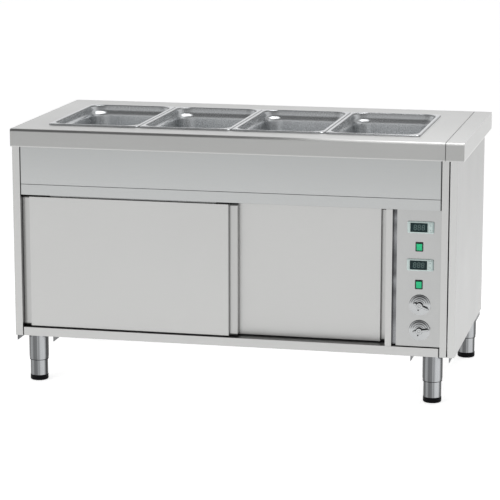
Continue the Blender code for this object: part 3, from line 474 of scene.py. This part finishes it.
def refine(node, look, width=0.0005, degrees=30):
    """The CAD node's own shape with rounded edges, whose flat faces keep flat shading."""
    bm = welded(frame["nodes"][node])
    if node in ("worktop", "end_strip"):
        round_fold(bm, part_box(node)[0].z, FOLD_RADIUS)
    mesh = bpy.data.meshes.new(node)
    bm.to_mesh(mesh)
    bm.free()
    piece = new_piece(f"{node}_fine", mesh, BODY_OF[node], look, SLOT_OF[node], node)
    bevel(piece, width, 3, degrees)
    smooth(mesh, degrees)
    piece.modifiers.new("shading", "WEIGHTED_NORMAL").keep_sharp = True
    return piece


def lathe(bm, profile, place, steps=96):
    """A turned body from (radius, height) points, from the axis to the axis or back to its first point.

    place carries the turning axis, its own Z, to where it lies.
    """
    ring = profile[0] == profile[-1]
    turns = [2 * math.pi * i / steps for i in range(steps)]
    loops = []
    for radius, height in (profile[:-1] if ring else profile):
        if radius < 1e-7:
            points = [Vector((0, 0, height))]
        else:
            points = [Vector((radius * math.cos(t), radius * math.sin(t), height)) for t in turns]
        loops.append([bm.verts.new(place @ point) for point in points])
    pairs = list(zip(loops, loops[1:]))
    if ring:
        pairs.append((loops[-1], loops[0]))
    for one, two in pairs:
        for i in range(steps):
            n = (i + 1) % steps
            if len(one) == 1:
                bm.faces.new((one[0], two[i], two[n]))
            elif len(two) == 1:
                bm.faces.new((one[i], one[n], two[0]))
            else:
                bm.faces.new((one[i], one[n], two[n], two[i]))


def arc(centre, radius, start, end, steps):
    """Points on an arc, with angles in degrees."""
    angles = [math.radians(start + (end - start) * i / steps) for i in range(steps + 1)]
    return [(centre[0] + radius * math.cos(a), centre[1] + radius * math.sin(a)) for a in angles]


def rounded_outline(half_x, half_y, radius, steps):
    points = []
    for quarter, (sx, sy) in enumerate(((1, 1), (-1, 1), (-1, -1), (1, -1))):
        centre = (sx * (half_x - radius), sy * (half_y - radius))
        points += arc(centre, radius, quarter * 90, quarter * 90 + 90, steps)
    return points


def rectangle(x0, z0, x1, z1):
    return [(x0, z0), (x1, z0), (x1, z1), (x0, z1)]


def loft(bm, rings, cap_first=False, cap_last=False):
    loops = [[bm.verts.new(point) for point in ring] for ring in rings]
    count = len(loops[0])
    for lower, upper in zip(loops, loops[1:]):
        for i in range(count):
            n = (i + 1) % count
            bm.faces.new((lower[i], lower[n], upper[n], upper[i]))
    if cap_first:
        bm.faces.new(loops[0])
    if cap_last:
        bm.faces.new(loops[-1])


def prism(bm, outline, low, high):
    """An outline in x and z, carried along Y from low to high."""
    loft(bm, [[ALONG_Y @ Vector((u, v, w)) for u, v in outline] for w in (low, high)], True, True)


def upright_ring(centre, y, outline):
    return [Vector((centre.x + u, y, centre.z + v)) for u, v in outline]


def middle(node):
    low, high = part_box(node)
    return (low + high) / 2


def half_size(node):
    low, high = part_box(node)
    return (high.x - low.x) / 2, (high.z - low.z) / 2


# ---------------------------------------------------------------- sheet metal
LOOKS = {
    "left_side": "post_steel", "right_side": "post_steel", "end_panel": "end_steel",
    "partition": "post_steel", "left_door": "left_door_steel", "right_door": "right_door_steel",
    "apron_panel": "apron_steel", "header_rail": "apron_steel", "base_pan": "sill_steel",
}
RECESS_WIDTH = 0.0155
SCREW_ROWS, SCREW_COLUMNS = 3, 6
SCREW_INSET, SCREW_FOOT, SCREW_SPAN_LESS = 0.020, 0.025, 0.150


def build_sheet_metal(made):
    for node in frame["nodes"]:
        if node not in made:
            refine(node, LOOKS.get(node, SLOT_OF[node]))


def build_control_panel():
    """The panel, and the narrow channel beside the partition, in a darker, smoother steel: painted shade,
    with painted reflections.
    """
    panel = refine("control_panel", "control_steel")
    panel.data.materials.append(MATERIALS["recess_steel"])
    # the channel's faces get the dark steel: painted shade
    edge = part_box("control_panel")[0].x + RECESS_WIDTH
    for face in panel.data.polygons:
        if face.center.x < edge:
            face.material_index = 1
    return ["control_panel"]


def build_back_screws():
    """Pan-head screws round the back panel."""
    low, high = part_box("back_panel")
    head = [(0, 0.0010), (0.0011, 0.0010), (0.0016, 0.0021)]
    head += arc((0.0022, -0.0010), 0.0031, 78, 25, 4) + [(0.0052, 0.0), (0, 0.0)]
    bm = bmesh.new()
    for row in range(SCREW_ROWS):
        for column in range(SCREW_COLUMNS):
            if row == 1 and 0 < column < SCREW_COLUMNS - 1:
                continue
            x = low.x + SCREW_INSET + column * (high.x - low.x - 2 * SCREW_INSET) / (SCREW_COLUMNS - 1)
            z = low.z + SCREW_FOOT + row * (high.z - low.z - SCREW_SPAN_LESS) / (SCREW_ROWS - 1)
            lathe(bm, head, Matrix.Translation((x, high.y, z)) @ Matrix.Rotation(-math.pi / 2, 4, "X"), 24)
    mesh = mesh_from(bm, "back_screws")
    new_piece("back_screws", mesh, "cabinet", "bracket_steel", "panel_steel")
    smooth(mesh, 35)


# ---------------------------------------------------------------- pans
PAN_SHEET, PAN_FLOOR = 0.0009, 0.0012
PAN_SKIRT, PAN_ROLL, PAN_OUTER_CORNER = 0.0046, 0.0040, 0.0140
PAN_FLANGE, PAN_LIP, PAN_SHOULDER = 0.0125, 0.0035, 0.0255
PAN_WALL_FOOT, PAN_FILLET, PAN_CORNER = 0.0130, 0.0180, 0.0500
LIP_CORNER, LIP_TURNS = 0.0520, (0.5, 1.0, 1.45)
# the stacking shoulder, as (inset from the flange, corner radius, height from the shoulder)
SHOULDER_STEPS = (
    (0.0010, 0.0540, 0.0090), (0.0018, 0.0550, 0.0040), (0.0036, 0.0560, -0.0005),
    (0.0058, 0.0570, -0.0042), (0.0072, 0.0570, -0.0090), (0.0080, 0.0570, -0.0150),
)


def pan_profile(depth):
    """(inset, corner radius, height from the rim) from the flange's outer edge to the pan's floor."""
    profile = [(0.0, PAN_OUTER_CORNER, -PAN_SKIRT)]
    roll = arc((0, -PAN_ROLL), PAN_ROLL, 0, 90, 7)
    profile += [(PAN_ROLL - x, PAN_OUTER_CORNER, z) for x, z in roll]
    edge = PAN_FLANGE - PAN_LIP
    profile += [(edge, PAN_CORNER, 0.0)]
    profile += [
        (edge + PAN_LIP * math.sin(t), LIP_CORNER, -PAN_LIP + PAN_LIP * math.cos(t)) for t in LIP_TURNS
    ]
    profile += [
        (PAN_FLANGE + inset, corner, -PAN_SHOULDER + rise) for inset, corner, rise in SHOULDER_STEPS
    ]
    for i in range(7):
        t = i / 6 * math.pi / 2
        inset = PAN_FLANGE + PAN_WALL_FOOT + PAN_FILLET * (1 - math.cos(t))
        profile.append((inset, PAN_CORNER, -depth + PAN_FILLET * (1 - math.sin(t))))
    return profile


def build_pan(index):
    """A drawn pan: a rolled flange, a stacking shoulder, drafted walls and a round-cornered floor."""
    node = f"pan_{index}"
    low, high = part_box(node)
    centre, top = (low + high) / 2, high.z
    half_x, half_y = (high.x - low.x) / 2, (high.y - low.y) / 2
    rings = []
    for inset, corner, z in pan_profile(top - low.z - PAN_FLOOR):
        outline = rounded_outline(half_x - inset, half_y - inset, corner, 12)
        rings.append([Vector((centre.x + u, centre.y + v, top + z)) for u, v in outline])
    bm = bmesh.new()
    loft(bm, rings, cap_last=True)
    piece = add_piece(bm, f"{node}_drawn", node, "pan_steel", "pan_steel", 50)
    thick = piece.modifiers.new("sheet", "SOLIDIFY")
    thick.thickness, thick.offset = PAN_SHEET, -1
    return node


# ---------------------------------------------------------------- legs
UPPER_TUBE_STEP, TUBE_CLEARANCE, TUBE_WALL = 0.0037, 0.0004, 0.0015
CHANNEL_SHEET, CHANNEL_LIP, CHANNEL_EDGE = 0.0020, 0.0210, 0.0006
MOUTH_RADIUS, BUSH_HANG, BUSH_CLEARANCE = 0.0010, 0.0014, 0.0005
FOOT_SHOULDER, FOOT_GROOVE, FOOT_TOE, FOOT_GROUND = 0.0012, 0.0006, 0.0045, 0.0002


def build_upper_tube(node, place, radius):
    """The fixed tube with its rolled-in mouth, and the plastic bush in that mouth."""
    low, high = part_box(node)
    upper, inner, mouth = radius + UPPER_TUBE_STEP, radius + TUBE_CLEARANCE, low.z
    profile = [(0, high.z - 0.0030), (upper, high.z - 0.0030), (upper, mouth + 0.0120)]
    profile += [(upper - 0.0004, mouth + 0.0080), (upper - 0.0012, mouth + 0.0035)]
    profile += arc((upper - 2 * MOUTH_RADIUS, mouth + 0.0012), MOUTH_RADIUS, 20, -90, 4)
    profile += [(inner, mouth + 0.0002), (inner, mouth + 0.0200), (0, mouth + 0.0202)]
    bm = bmesh.new()
    lathe(bm, profile, place)
    add_piece(bm, f"{node}_tube", node, "leg_steel", "leg_steel", 40)
    inner = radius + BUSH_CLEARANCE
    bush = [(inner, mouth - BUSH_HANG), (upper - 0.0014, mouth - BUSH_HANG)]
    bush += [(upper - 0.0010, mouth - 0.0010), (upper - 0.0010, mouth + 0.0004), (inner, mouth + 0.0004)]
    bm = bmesh.new()
    lathe(bm, bush + bush[:1], place)
    add_piece(bm, f"{node}_bush", node, "foot_black", "black_plastic", 40)


def build_channel(node):
    """The channel that carries the leg, open underneath."""
    low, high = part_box(node)
    foot, under = high.z - CHANNEL_LIP, high.z - CHANNEL_SHEET
    left, right = low.x + CHANNEL_SHEET, high.x - CHANNEL_SHEET
    outline = [(low.x, foot), (left, foot), (left, under), (right, under),
               (right, foot), (high.x, foot), (high.x, high.z), (low.x, high.z)]
    bm = bmesh.new()
    prism(bm, outline, low.y, high.y)
    bevel(add_piece(bm, f"{node}_channel", node, "bracket_steel", "leg_steel"), CHANNEL_EDGE)


def build_foot(node, place):
    """The moulded cap: a soft shoulder, a moulding line and a rounded toe."""
    top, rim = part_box(node)[1].z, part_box(node)[1].x - middle(node).x
    profile = [(0, top), (rim - FOOT_SHOULDER, top)]
    profile += arc((rim - FOOT_SHOULDER, top - FOOT_SHOULDER), FOOT_SHOULDER, 80, 0, 3)
    profile += [(rim, 0.0118)] + arc((rim - FOOT_GROOVE, 0.0106), FOOT_GROOVE, 60, -60, 3)
    profile += [(rim, 0.0094), (rim, 0.0060)] + arc((rim - FOOT_TOE, 0.0048), FOOT_TOE, 0, -80, 5)
    profile += [(rim - 0.0065, FOOT_GROUND), (0, FOOT_GROUND)]
    bm = bmesh.new()
    lathe(bm, profile, place)
    add_piece(bm, f"{node}_moulded", node, "foot_black", "black_plastic", 40)


def build_leg(name):
    """A channel under the cabinet, an upper tube, the sliding tube and its moulded foot."""
    tube_node, foot_node, mount_node = f"leg_tube_{name}", f"foot_{name}", f"leg_mount_{name}"
    centre = middle(foot_node)
    place = Matrix.Translation((centre.x, centre.y, 0))
    tube_low, tube_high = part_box(tube_node)
    radius = (tube_high.x - tube_low.x) / 2
    build_upper_tube(mount_node, place, radius)
    build_channel(mount_node)
    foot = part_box(foot_node)[1].z + TUBE_CLEARANCE
    inner = radius - TUBE_WALL
    profile = [(radius, tube_high.z), (radius, foot), (inner, foot), (inner, tube_high.z)]
    bm = bmesh.new()
    lathe(bm, profile + profile[:1], place)
    add_piece(bm, f"{tube_node}_drawn", tube_node, "leg_steel", "leg_steel", 40)
    build_foot(foot_node, place)
    return [tube_node, foot_node, mount_node]


# ---------------------------------------------------------------- valves
COLLAR_R, COLLAR_BORE, ROSETTE_STEPS = 0.0126, 0.0075, 48
RINGS, RING_RELIEF = 3.5, 0.00010
RIM_SHARE = 0.12                     # the dome's height at its rim, as a share of its whole height
HUB_R, HUB_NECK, HUB_FILLET, HUB_DEPTH = 0.0115, 0.0060, 0.0030, 0.0083
FIXING_SCREW_AT = (-0.0045, -0.0165, 0.0006)
FIXING_SCREW = [(0, 0.0074), (0.0012, 0.0072), (0.0014, 0.0062), (0.0022, 0.0062),
                (0.0028, 0.0052), (0.0028, 0.0030), (0, 0.0030)]
ARM_FROM, ARM_LENGTH, ARM_RINGS, ARM_SIDES = -0.0222, 0.0575, 24, 24
ARM_HALF, ARM_SWELL, ARM_THICK, ARM_DEPTH, ARM_LEAST = 0.0044, 0.0016, 0.0026, 0.0043, 0.0004
ARM_BEND = 0.0022


def build_rosette(node, place):
    """A domed chrome rosette with faint rings, a stepped collar and one fixing screw."""
    low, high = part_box(node)
    radius, height = (high.x - low.x) / 2, high.y - low.y
    span = radius - COLLAR_R
    profile = [(COLLAR_BORE, height * 0.6), (COLLAR_BORE + 0.0003, height + 0.0002),
               (0.0120, height + 0.0004), (COLLAR_R, height - 0.0002)]
    for i in range(ROSETTE_STEPS + 1):
        r = COLLAR_R + span * i / ROSETTE_STEPS
        dome = height * (RIM_SHARE + (1 - RIM_SHARE) * (1 - (r / radius) ** 2))
        ripple = RING_RELIEF * math.sin(2 * math.pi * RINGS * (r - COLLAR_R) / span)
        profile.append((r, min(height - 0.0002, dome - 0.0006 + ripple)))
    profile += [(radius, 0.0004), (radius - 0.0010, 0.0001), (COLLAR_BORE, 0.0001)]
    bm = bmesh.new()
    lathe(bm, profile + profile[:1], place)
    add_piece(bm, f"{node}_spun", node, "valve_chrome", "valve_chrome", 35)
    bm = bmesh.new()
    lathe(bm, FIXING_SCREW, place @ Matrix.Translation(FIXING_SCREW_AT), 32)
    add_piece(bm, f"{node}_screw", node, "black_plastic", "valve_chrome", 35)


def arm_ring(i, front, turned):
    """One ring of the lever's arms, which swell at the hub, bend back and round off at both ends."""
    along = ARM_FROM + ARM_LENGTH * i / ARM_RINGS
    past = (abs(i - ARM_RINGS / 2) - 9.5) / 2.6
    end = math.sqrt(max(0.0, 1 - past ** 2)) if past > 0 else 1.0
    waist = ARM_HALF + ARM_SWELL * math.exp(-(along / 0.012) ** 2)
    half_v, half_w = max(ARM_LEAST, waist * end), max(ARM_LEAST, ARM_THICK * end)
    bend = ARM_BEND * (along / 0.035) ** 2 * 0.4 if along > 0 else 0.0
    ring = []
    for k in range(ARM_SIDES):
        t = 2 * math.pi * k / ARM_SIDES
        height = front - ARM_DEPTH + half_w * math.sin(t) - bend
        ring.append(turned @ Vector((along, half_v * math.cos(t), height)))
    return ring


def build_lever(node, place, face, tilt):
    """A turned hub with a two-armed lever across it."""
    front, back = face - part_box(node)[0].y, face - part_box(node)[1].y
    profile = [(0, front - 0.0006), (0.0035, front - 0.0006), (0.0040, front - 0.0011),
               (0.0052, front - 0.0011), (0.0058, front - 0.0002)]
    profile += arc((HUB_R - HUB_FILLET, front - 0.0032), HUB_FILLET, 90, 0, 6)
    profile += [(HUB_R, front - 0.0075), (HUB_R - 0.0007, front - HUB_DEPTH)]
    profile += [(HUB_NECK, front - HUB_DEPTH), (HUB_NECK, back), (0, back)]
    bm = bmesh.new()
    lathe(bm, profile, place, 72)
    add_piece(bm, f"{node}_hub", node, "valve_chrome", "valve_chrome", 35)
    turned = place @ Matrix.Rotation(math.radians(-tilt), 4, "Z")
    bm = bmesh.new()
    loft(bm, [arm_ring(i, front, turned) for i in range(ARM_RINGS + 1)], True, True)
    add_piece(bm, f"{node}_arms", node, "valve_chrome", "valve_chrome", 60)


def build_valve(name, tilt):
    rosette_node, lever_node = f"{name}_rosette", f"{name}_lever"
    centre, face = middle(rosette_node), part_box(rosette_node)[1].y
    place = Matrix.Translation((centre.x, face, centre.z)) @ Matrix.Rotation(math.pi / 2, 4, "X")
    build_rosette(rosette_node, place)
    build_lever(lever_node, place, face, tilt)
    return [rosette_node, lever_node]


# ---------------------------------------------------------------- thermostats
# the bars of a digit, as (across, up, lies flat)
SEGMENTS = ((0, 1, True), (1, 0.5, False), (1, -0.5, False), (0, -1, True),
            (-1, -0.5, False), (-1, 0.5, False), (0, 0, True))
PANEL_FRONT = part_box("control_panel")[0].y
CASE_CORNER, CASE_CROWN, CASE_EDGE = 0.0050, 0.0016 * 0.6, 0.0004
POCKET_PLAY, WINDOW_POCKET, KEY_POCKET, CUT_FROM = 0.0006, 0.0032, 0.0046, 0.01
GROOVES_AT, GROOVE_WIDTH, GROOVE_DEPTH, SHADE_FROM = (-0.0385, 0.0425), 0.0006, 0.0009, 0.0429
DIGITS, DIGIT_START, DIGIT_PITCH = 3, 0.0125, 0.0135
DIGIT_HALF, DIGIT_RISE, DIGIT_SLANT = 0.0040, 0.0080, 0.0006
BAR_LONG, BAR_THIN = 0.0031, 0.0008
BAR_PROUD, BAR_DEPTH, MARK_PROUD = 0.0002, 0.0004, 0.0002
ARROW_TIP, ARROW_HALF, ARROW_HEIGHT = 0.0100, 0.0026, 0.0040


def build_case(node, window_node, key_node):
    """A case with soft corners and a crowned lower lip, pockets for window and key, and two grooves."""
    low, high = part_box(node)
    centre, face = middle(node), low.y
    half_x, half_z = half_size(node)
    steps = ((0.0, PANEL_FRONT - 0.0003), (0.0, PANEL_FRONT - 0.0030), (0.0006, PANEL_FRONT - 0.0050),
             (0.0018, face + 0.0006), (0.0032, face))
    rings = []
    for inset, y in steps:
        outline = rounded_outline(half_x - inset, half_z - inset, CASE_CORNER - inset, 8)
        crowned = [(u, v - (CASE_CROWN * (1 - (u / half_x) ** 2) if v < 0 else 0)) for u, v in outline]
        rings.append(upright_ring(centre, y, crowned))
    bm = bmesh.new()
    loft(bm, rings, True, True)
    case = add_piece(bm, f"{node}_moulded", node, "pale_plastic", "pale_plastic")
    pockets = bmesh.new()
    for other, depth in ((window_node, WINDOW_POCKET), (key_node, KEY_POCKET)):
        first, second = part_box(other)
        outline = rectangle(first.x - POCKET_PLAY, first.z - POCKET_PLAY,
                            second.x + POCKET_PLAY, second.z + POCKET_PLAY)
        prism(pockets, outline, face - CUT_FROM, face + depth)
    for offset in GROOVES_AT:
        groove = centre.x + offset
        outline = rectangle(groove, low.z - 0.001, groove + GROOVE_WIDTH, high.z + 0.001)
        prism(pockets, outline, face - CUT_FROM, face + GROOVE_DEPTH)
    cutter = bpy.data.objects.new(f"{node}_cutter", mesh_from(pockets, f"{node}_cutter"))
    bpy.context.scene.collection.objects.link(cutter)
    cut = case.modifiers.new("pockets", "BOOLEAN")
    cut.operation, cut.object = "DIFFERENCE", cutter
    bpy.context.view_layer.update()
    graph = bpy.context.evaluated_depsgraph_get()
    finished = bpy.data.meshes.new_from_object(case.evaluated_get(graph))
    case.modifiers.remove(cut)
    case.data = finished
    bpy.data.objects.remove(cutter)
    # the case's right end gets the darker copy: painted shade
    finished.materials.append(MATERIALS["pale_shade"])
    for polygon in finished.polygons:
        if polygon.center.x > centre.x + SHADE_FROM:
            polygon.material_index = 1
    bevel(case, CASE_EDGE, 2, 40)
    smooth(finished, 35)


def build_window(node, digits_name):
    """The dark window, with three unlit digits on it."""
    low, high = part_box(node)
    centre = middle(node)
    outline = rounded_outline(*half_size(node), 0.0012, 4)
    bm = bmesh.new()
    prism(bm, [(centre.x + u, centre.z + v) for u, v in outline], low.y, high.y)
    bevel(add_piece(bm, f"{node}_glazed", node, "dark_lens", "dark_lens"), 0.0003, 2)
    bm = bmesh.new()
    for digit in range(DIGITS):
        middle_x = centre.x - DIGIT_START + digit * DIGIT_PITCH
        for across, up, flat in SEGMENTS:
            u, v = middle_x + across * DIGIT_HALF + up * DIGIT_SLANT, centre.z + up * DIGIT_RISE
            half_u, half_v = (BAR_LONG, BAR_THIN) if flat else (BAR_THIN, BAR_LONG)
            bar = rectangle(u - half_u, v - half_v, u + half_u, v + half_v)
            prism(bm, bar, low.y - BAR_PROUD, low.y + BAR_DEPTH)
    add_piece(bm, digits_name, node, "segment", "dark_lens", stands_in=False)


def build_key(node, name):
    """The setting key, with an arrow up and an arrow down."""
    low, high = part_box(node)
    centre = middle(node)
    half_x, half_z = half_size(node)
    rings = []
    for inset, y in ((0.0, high.y), (0.0, low.y + 0.0010), (0.0004, low.y + 0.0003), (0.0012, low.y)):
        outline = rounded_outline(half_x - inset, half_z - inset, 0.0016, 5)
        rings.append(upright_ring(centre, y, outline))
    bm = bmesh.new()
    loft(bm, rings, True, True)
    bevel(add_piece(bm, f"{node}_moulded", node, "pale_plastic", "pale_plastic"), 0.0003, 2)
    for sign, label in ((1, "up"), (-1, "down")):
        tip = centre.z + sign * ARROW_TIP
        foot = tip - sign * ARROW_HEIGHT
        bm = bmesh.new()
        arrow = [(centre.x - ARROW_HALF, foot), (centre.x + ARROW_HALF, foot), (centre.x, tip)]
        prism(bm, arrow, low.y - MARK_PROUD, low.y + MARK_PROUD)
        add_piece(bm, f"{name}_arrow_{label}", node, "marking", "pale_plastic", stands_in=False)


def build_thermostat(name):
    case_node, window_node, key_node = f"{name}_case", f"{name}_window", f"{name}_key"
    build_case(case_node, window_node, key_node)
    build_window(window_node, f"{name}_digits")
    build_key(key_node, name)
    return [case_node, window_node, key_node]


# ---------------------------------------------------------------- switches
SWITCH_RIM, SWITCH_CORNER, ROCKER_CORNER = 0.0032, 0.0024, 0.0006
ROCKER_HOUSING = 0.0110              # how far the frame reaches behind the panel's face
ROCKER_EDGE = 0.0008


def build_switch(name):
    """A black snap-in frame round a ribbed translucent rocker with two dished halves."""
    frame_node, rocker_node = f"{name}_frame", f"{name}_rocker"
    face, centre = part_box(frame_node)[0].y, middle(frame_node)
    half_x, half_z = half_size(frame_node)
    inner_x, inner_z = half_x - SWITCH_RIM, half_z - SWITCH_RIM
    outside = ((0.0, PANEL_FRONT - 0.0003), (0.0, face + 0.0012), (0.0008, face + 0.0002), (0.0018, face))
    inside = ((0.0004, face), (0.0, face + 0.0005), (0.0, PANEL_FRONT + ROCKER_HOUSING))
    rings = []
    for inset, y in outside:
        outline = rounded_outline(half_x - inset, half_z - inset, SWITCH_CORNER - inset * 0.5, 6)
        rings.append(upright_ring(centre, y, outline))
    for grow, y in inside:
        outline = rounded_outline(inner_x + grow, inner_z + grow, ROCKER_CORNER, 6)
        rings.append(upright_ring(centre, y, outline))
    bm = bmesh.new()
    loft(bm, rings, False, True)
    add_piece(bm, f"{frame_node}_moulded", frame_node, "black_plastic", "black_plastic", 40)
    shape = welded(frame["nodes"][rocker_node])
    rocker = add_piece(shape, f"{rocker_node}_lens", rocker_node, "green_lens", "green_lens", 25)
    bevel(rocker, ROCKER_EDGE, 4, 25)
    return [frame_node, rocker_node]


made = [build_pan(index) for index in (1, 2, 3, 4)]
for leg in ("front_left", "front_right", "rear_left", "rear_right"):
    made += build_leg(leg)
made += build_valve("fill", 22) + build_valve("drain", -9)
for thermostat in ("bath_thermostat", "cupboard_thermostat"):
    made += build_thermostat(thermostat)
for switch in ("bath_switch", "cupboard_switch"):
    made += build_switch(switch)
made += build_control_panel()
build_sheet_metal(made)
build_back_screws()


# ---------------------------------------------------------------- camera, floor and light
CAMERA_PLACE, CAMERA_PITCH, CAMERA_TURN = (1.6619, -7.5179, 1.9781), 0.19822, 0.22091
CAMERA_LENS, CAMERA_SENSOR = 158.12, 36.0
FLOOR_HALF, FLOOR_Z, FLOOR_GLOW = 20, -0.0005, 0.70
# the world's grey by height, on the side in front of the counter and on the side behind it
ROOM = ((0.0, 0.95), (0.20, 0.78), (0.34, 0.24), (1.0, 0.16))
BACKDROP = ((0.0, 1.0), (0.34, 0.97), (0.58, 0.40), (1.0, 0.16))
BACKDROP_STARTS = (-0.45, 0.05)
DECK, PANS = ("worktop", "end_strip"), ("pan_",)


def add_camera():
    data = bpy.data.cameras.new("camera")
    data.lens, data.sensor_width = CAMERA_LENS, CAMERA_SENSOR
    data.clip_start, data.clip_end = 0.1, 60.0
    camera = bpy.data.objects.new("camera", data)
    camera.location = CAMERA_PLACE
    camera.rotation_euler = (math.pi / 2 - CAMERA_PITCH, 0, CAMERA_TURN)
    bpy.context.scene.collection.objects.link(camera)
    bpy.context.scene.camera = camera


def add_floor():
    """A white floor that glows a little, so that it fades into the white backdrop."""
    bm = bmesh.new()
    bmesh.ops.create_grid(bm, x_segments=2, y_segments=2, size=FLOOR_HALF)
    mesh = bpy.data.meshes.new("floor")
    bm.to_mesh(mesh)
    bm.free()
    floor = bpy.data.objects.new("floor", mesh)
    bpy.context.scene.collection.objects.link(floor)
    floor.location.z = FLOOR_Z
    shader = Shader("floor_white")
    shader.constants(Base_Color=(0.80, 0.80, 0.80, 1), Roughness=0.9)
    shader.constants(Emission_Color=(1, 1, 1, 1), Emission_Strength=FLOOR_GLOW)
    mesh.materials.append(shader.material)


def add_area(name, place, aim, size, power, seen=True, only=None):
    """A soft light, which shows in polished steel if seen; only holds the names' starts of what it lights."""
    data = bpy.data.lights.new(name, "AREA")
    data.shape, data.size, data.size_y, data.energy = "RECTANGLE", size[0], size[1], power
    light = bpy.data.objects.new(name, data)
    light.location = place
    light.rotation_euler = (Vector(aim) - Vector(place)).to_track_quat("-Z", "Y").to_euler()
    light.visible_camera = False
    light.visible_glossy = seen
    if only:
        lit = bpy.data.collections.new(f"{name}_lit")
        for piece in bpy.context.scene.objects:
            if piece.type == "MESH" and piece.name.startswith(only):
                lit.objects.link(piece)
        light.light_linking.receiver_collection = lit
    bpy.context.scene.collection.objects.link(light)


def colour_socket(sockets, name=None):
    """A mix node has a socket for each kind of value under one name; this is the one for colours."""
    return next(socket for socket in sockets if socket.type == "RGBA" and name in (None, socket.name))


def add_world():
    """A studio with a bright backdrop behind the counter and a darker room in front of it and overhead."""
    world = bpy.data.worlds.new("studio")
    world.use_nodes = True
    nodes, links = world.node_tree.nodes, world.node_tree.links
    split = nodes.new("ShaderNodeSeparateXYZ")
    links.new(nodes.new("ShaderNodeTexCoord").outputs["Generated"], split.inputs[0])
    behind = nodes.new("ShaderNodeMapRange")
    behind.inputs["From Min"].default_value = BACKDROP_STARTS[0]
    behind.inputs["From Max"].default_value = BACKDROP_STARTS[1]
    links.new(split.outputs["Y"], behind.inputs["Value"])
    mix = nodes.new("ShaderNodeMix")
    mix.data_type = "RGBA"
    links.new(behind.outputs["Result"], mix.inputs["Factor"])
    for side, stops in (("A", ROOM), ("B", BACKDROP)):
        ramp = nodes.new("ShaderNodeValToRGB")
        links.new(split.outputs["Z"], ramp.inputs["Fac"])
        elements = ramp.color_ramp.elements
        for index, (place, grey) in enumerate(stops):
            stop = elements[index] if index < 2 else elements.new(place)
            stop.position = place
            stop.color = (grey, grey, grey * 1.005, 1)
        links.new(ramp.outputs["Color"], colour_socket(mix.inputs, side))
    links.new(colour_socket(mix.outputs), nodes["Background"].inputs["Color"])
    bpy.context.scene.world = world


add_camera()
add_floor()
add_world()
add_area("overhead", (1.15, 0.25, 3.0), (1.15, 0.25, 0.0), (1.9, 1.9), 24)
add_area("nose_strip", (0.56, -0.25, 1.40), (0.56, -0.25, 0.0), (0.82, 1.15), 3.0, only=DECK)
add_area("nose_front", (0.38, -1.95, 2.10), (0.60, -0.38, 0.9), (0.85, 1.7), 7.0, only=DECK)
add_area("pan_window", (2.2, -1.6, 7.0), (0, 0, 0.9), (5.6, 3.6), 140, only=PANS)
add_area("key", (-2.5, -3.0, 4.0), (0, 0, 0.5), (3, 3), 60, seen=False)
bpy.context.scene.view_settings.view_transform = "Standard"
